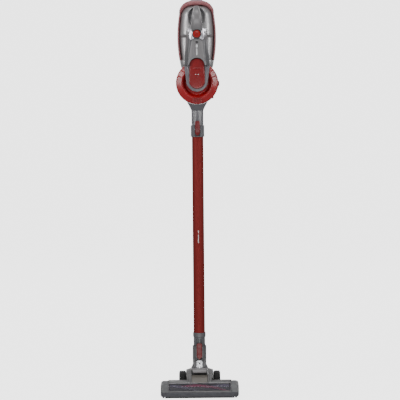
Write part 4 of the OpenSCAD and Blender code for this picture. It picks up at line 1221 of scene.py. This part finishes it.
def shield():
    """The plate round the power button, near-white as a painted highlight on its up-facing facets, which
    narrows down to the tongue's round top.
    """
    left = [(-16.5, 1048.5), (-19.0, 1050.0), (-26.8, 1077.5), (-25.0, 1081.0), (-15, 1082)]
    outline = left + [(-x, z) for x, z in reversed(left)] + arc(0, 1036.5, 18.2, 45, 135, 20)
    # The plate's near-white colour is a painted highlight for its up-facing facets.
    plate = prism("button_plate", outline, "Y", -63.5, -56, SILVER_PAINTED_HIGHLIGHT, bevel=0.8, segments=4)
    bake_modifiers(plate)

    def tilt(x, y, z):
        back = 7.0 * ease(abs(x), 10, 27) * ease(z, 1046, 1080)
        return (x, y + back - 2.0 * ease(z, 1050, 1084) * (1 - ease(abs(x), 8, 20)), z)

    bulge(sliced(plate, 0, 24), tilt)
    place(plate, "power_unit", "silver_shell")
    collar = lathe("button_collar", [(11.3, -9.0), (11.4, 1.8), (12.4, 2.4), (13.6, 1.8), (13.9, 0.3),
                                     (13.9, -9.0)],
                   "Y", (0, 0, 0), ABS_BLACK, 96)
    bulge(collar, lambda x, y, z: (x, BUTTON_LOW.y + 2.4 - y, z + BUTTON_Z))
    place(collar, "power_unit", "roller_plastic")


def switch():
    """The round red power button, dished, with a raised ring mark."""
    y = BUTTON_LOW.y
    profile = [(0.01, y + 1.0), (4, y + 0.9), (7, y + 0.5), (9.2, y), (10.4, y + 0.3), (11, y + 1.2),
               (11, BUTTON_HIGH.y), (0.01, BUTTON_HIGH.y)]
    cap = lathe("power_button_cap", profile, "Y", (0, 0, BUTTON_Z), RED_BUTTON, 96)
    place(cap, "switch", "button_red", "power_button")
    ring = lathe("power_button_ring_mark", [(3.4, y + 1.1), (3.5, y + 0.6), (4.3, y + 0.6), (4.4, y + 1.1)],
                 "Y", (0, 0, BUTTON_Z), RED_LATCH, 64)
    place(ring, "switch", "button_red")


def handle():
    """The bridge handle, swept from the pod over the finger gap to the top of the shell."""
    outer = curve((-61, 1064), (-68, 1074), (-82, 1094), (-82, 1112), 20) + curve(
        (-82, 1112), (-80, 1137), (-52, 1150.5), (-14, 1150.5), 24)[1:]
    inner = curve((-40, 1070), (-50, 1080), (-55, 1095), (-53, 1110), 20) + curve(
        (-53, 1110), (-51, 1126), (-36, 1138), (-12, 1140), 24)[1:]
    rings = []
    for o, n in zip(outer, inner):
        half = 18.3 - 3.0 * ease(o[1], 1080, 1112) - 6.0 * ease(o[1], 1112, 1150)
        ring = []
        for x, d in superellipse(half, 0.5, 3.4, 56):
            share = d + 0.5
            narrow = 1 - 0.12 * (1 - share)
            y = o[0] + (n[0] - o[0]) * share
            z = o[1] + (n[1] - o[1]) * share
            ring.append((x * narrow, y, z))
        rings.append(ring)
    bridge = skin("bridge_handle", rings, SILVER_MID, smooth=50)
    place(bridge, "power_unit", "silver_shell")


def led_and_mark():
    """The dark light slot and a plain pale bar on the pod's tongue, in place of lettering."""
    y = -61.7
    slot_lens = prism("light_slot", superellipse(4.0, 1.9, 3, 40, (0, 1042)), "Y", y - 0.4, y + 1.0,
                      LENS_BLACK, bevel=0.3)
    place(slot_lens, "power_unit", "roller_plastic")
    for k, (z, length, half) in enumerate(((1030.5, 9, 2.6), (1014, 20, 1.7))):
        bar = prism(f"pod_mark_{k + 1}", superellipse(half, length / 2, 5, 36, (0, z)), "Y", y - 0.15,
                    y + 0.6, PRINT_AND_HIGHLIGHT_WHITE, bevel=0.1)
        place(bar, "power_unit", "pale_shell")


def band():
    """The glossy band between the shells, narrow at the sides and broad over the top, in burgundy lightened
    by a painted sheen.
    """
    low = BAND_LOW.z
    outer = side_outline(BAND_HIGH.x - 1.1, 13.5, 1127, 38.9, low)
    inner = side_outline(50.4, 12.2, 1118.6, 34.2, low + 1.5)
    rings = []
    for (ox, oz), (ix, iz) in zip(outer + mirrored(outer)[1:], inner + mirrored(inner)[1:]):
        ring = []
        for k in range(17):
            t = k / 16
            bow = math.sin(math.pi * t) ** 0.7
            ring.append((ox + (ix - ox) * t, -5.5 - 5.0 * bow, oz + (iz - oz) * t))
        ring.append((ix, BAND_HIGH.y, iz))
        ring.append((ox, BAND_HIGH.y, oz))
        rings.append(ring)
    place(skin("trim_band_polished", rings, BURGUNDY_WITH_PAINTED_SHEEN, smooth=40), "power_unit", "burgundy_trim", "trim_band")


def back_half(z):
    """Half width of the rear shell at a height."""
    if z <= BACK_TURN:
        return 56.2 - side_sag(z)
    return 13.5 + math.sqrt(max(0.0, BACK_CORNER_R ** 2 - (z - BACK_TURN) ** 2))


def rear_shell():
    """The pale rear shell: a round back with exhaust slots, a battery door's line and a charging hole."""
    y_edge = BAND_HIGH.y + 0.1
    depth = BACK_HIGH.y - y_edge
    levels = [BACK_LOW.z + (BACK_TURN - BACK_LOW.z) * i / 44 for i in range(45)]
    levels += [BACK_TURN + BACK_CORNER_R * math.sin(math.radians(a)) for a in range(6, 91, 6)]
    rows = []
    for z in levels:
        half = back_half(z)
        close = 1.0
        if z > BACK_TURN:
            close = math.sqrt(max(0.0, 1 - ((z - BACK_TURN) / BACK_CORNER_R) ** 2.6))
        row = []
        for k in range(65):
            a = math.pi * (k / 64 - 0.5)
            x = half * math.copysign(abs(math.sin(a)) ** (2 / 2.5), a)
            rise = max(0.0, math.cos(a)) ** (2 / 3.0)
            row.append((x, y_edge + depth * rise * max(close, 0.03), z))
        rows.append(row[::-1])
    shell = sheet("rear_shell_round", rows, 2.3, ABS_PALE, smooth=40)
    saddle = saddle_cutter(-10, 70, ABS_PALE)
    slots = []
    for row in range(6):
        for column in (-1, 1):
            outline = superellipse(11.5, 1.5, 5, 28, (column * 15.5, 1030 + 6.2 * row))
            slots.append(prism("slot", outline, "Y", 30, 60, ABS_PALE))
    socket = lathe("socket_hole", [(0.01, 30), (5.6, 30), (5.6, 60), (0.01, 60)], "Y", (0, 0, 1008),
                   ABS_PALE, 48)
    door_line = groove(superellipse(36, 40, 5, 72, (0, 1109)), superellipse(34.9, 38.9, 5, 72, (0, 1109)),
                       43.6, 60)
    cut(shell, saddle, join("slots", slots), socket, door_line, smooth=40)
    place(shell, "power_unit", "pale_shell", "rear_shell")
    place(prism("exhaust_foam", superellipse(28, 20, 5, 48, (0, 1045.5)), "Y", 38, 41, RUBBER), "power_unit",
          "bumper_rubber")
    for k in range(4):
        z = 1114 + 3.4 * k
        grip = prism(f"battery_door_grip_{k + 1}", superellipse(14 - 1.5 * k, 0.9, 4, 28, (0, z)), "Y", 43.5,
                     45.9, ABS_PALE, bevel=0.3)
        place(grip, "power_unit", "pale_shell")


def groove(outer, inner, low, high):
    """A ring-shaped cutter between two outlines drawn in X, Z."""
    rings = [[(x, low, z) for x, z in outer], [(x, high, z) for x, z in outer],
             [(x, high, z) for x, z in inner], [(x, low, z) for x, z in inner],
             [(x, low, z) for x, z in outer]]
    return skin("groove", rings, ABS_PALE, caps=False)


def spine():
    """The pale crest over the top of the rear shell, just seen above the band."""
    rings = []
    for i in range(25):
        t = i / 24
        y = 6.4 + 32 * t
        top = BAND_HIGH.z + 3.6 - 2.2 * t - 26 * t ** 3.2
        ring = [(x, y, top - 5 + z) for x, z in superellipse(20 - 5 * t, 5, 2.4, 40)]
        rings.append(ring)
    place(skin("rear_crest", rings, ABS_PALE, smooth=50), "power_unit", "pale_shell")


# ---------------------------------------------------------------- carried-over CAD nodes

def paint_cad_nodes():
    """Gives each CAD node that stays its own material."""
    finishes = {
        ABS_SOLE: ["head_sole"],
        FELT: ["lint_strips"],
        STEEL: ["head_screws", "pitch_pins", "wheel_axles", "swivel_pin", "neck_latch_pin",
                "neck_latch_spring", "wand_latch_pin", "wand_latch_spring", "cup_pins"],
        MOTOR_CAN: ["brush_motor", "suction_motor"],
        SEAL: ["drive_belt", "cup_seals", "wand_cable"],
        BRASS: ["brush_bearings", "motor_pulley", "neck_contacts"],
        ABS_WHITE: ["brush_pulley", "fan_wheel"],
        ABS_BLACK: ["left_front_roller", "right_front_roller", "charging_socket"],
        ABS_NECK: ["cyclone_cone"],
        MESH_STEEL: ["mesh_filter"],
        PAPER: ["pleated_filter"],
        CELL_WRAP: ["battery_pack"],
        BOARD_GREEN: ["circuit_board"],
    }
    for material, nodes in finishes.items():
        for name in nodes:
            mesh = frame["nodes"][name].data
            mesh.materials.clear()
            mesh.materials.append(material)


# ---------------------------------------------------------------- studio

def studio():
    """A pale bowl-shaped sweep all round the object, with soft light from both sides and above."""
    paper, tree, bsdf, where = shader("studio_paper", Roughness=0.9, Emission_Color=(1, 1, 1, 1),
                                      Emission_Strength=3.1)
    vary(tree, where, bsdf, "8c8c8c", "868686", 400)
    profile = [(0, 0), (1500, 0), (4000, 0)] + [(4000 + 3000 * math.sin(math.radians(a)),
               3000 - 3000 * math.cos(math.radians(a))) for a in range(15, 91, 15)] + [(7000, 9000)]
    rings = [[(max(r, 1) * math.cos(math.pi * k / 36), max(r, 1) * math.sin(math.pi * k / 36), z - 0.05)
              for k in range(72)] for r, z in profile]
    sweep = skin("studio_sweep", rings, paper, caps=False, smooth=80)
    sweep.visible_diffuse = False
    sweep.visible_glossy = False
    sweep.visible_shadow = False

    def softbox(name, spot, aim, width, height, power):
        lamp = bpy.data.lights.new(name, "AREA")
        lamp.shape = "RECTANGLE"
        lamp.size, lamp.size_y = width, height
        lamp.energy = power
        holder = bpy.data.objects.new(name, lamp)
        holder.location = spot
        holder.rotation_mode = "QUATERNION"
        holder.rotation_quaternion = (Vector(aim) - Vector(spot)).to_track_quat("-Z", "Y")
        holder.visible_camera = False
        bpy.context.scene.collection.objects.link(holder)

    softbox("left_softbox", (-2.1, -1.75, 1.75), (0, 0, 0.85), 0.5, 2.1, 38)
    softbox("right_softbox", (2.2, -1.75, 1.7), (0, 0, 0.85), 0.45, 2.1, 32)
    softbox("low_front_softbox", (0, -3.0, -0.2), (0, 0, 1.0), 2.4, 1.3, 24)
    softbox("rear_left_softbox", (-1.9, 2.6, 2.3), (0, 0, 0.8), 1.8, 1.8, 34)
    softbox("rear_right_softbox", (1.9, 2.6, 2.3), (0, 0, 0.8), 1.8, 1.8, 34)
    softbox("top_softbox", (0, -0.6, 3.2), (0, 0, 0.6), 1.6, 1.2, 14)
    world = bpy.data.worlds.new("studio_air")
    world.use_nodes = True
    world.node_tree.nodes["Background"].inputs["Color"].default_value = linear("dcdcde")
    world.node_tree.nodes["Background"].inputs["Strength"].default_value = 0.44
    bpy.context.scene.world = world


def camera():
    """The camera stands straight in front, a little above the middle, with a slight roll."""
    distance, height = 3.8, 0.82
    lens = bpy.data.cameras.new("camera")
    lens.sensor_width = 36
    lens.lens = 36 * distance / 1.182
    holder = bpy.data.objects.new("camera", lens)
    spot = Vector((0.0055, -distance, height))
    aim = Vector((0.0055, 0, 0.5805))
    look = (aim - spot).to_track_quat("-Z", "Y")
    roll = Matrix.Rotation(math.radians(-0.5), 4, "Z").to_quaternion()
    holder.rotation_mode = "QUATERNION"
    holder.location = spot
    holder.rotation_quaternion = look @ roll
    bpy.context.scene.collection.objects.link(holder)
    bpy.context.scene.camera = holder


camera()
studio()
paint_cad_nodes()
head_deck()
pivot_ears()
head_hump()
end_caps()
bumper()
window()
bristle_rows()
brush_body()
wheels()
cradle()
neck()
latches()
wand()
tube_mark()
inlet()
red_ring()
tongue()
panel()
door_catch()
cup_shell()
front_crown()
pod()
shield()
switch()
handle()
led_and_mark()
band()
rear_shell()
spine()
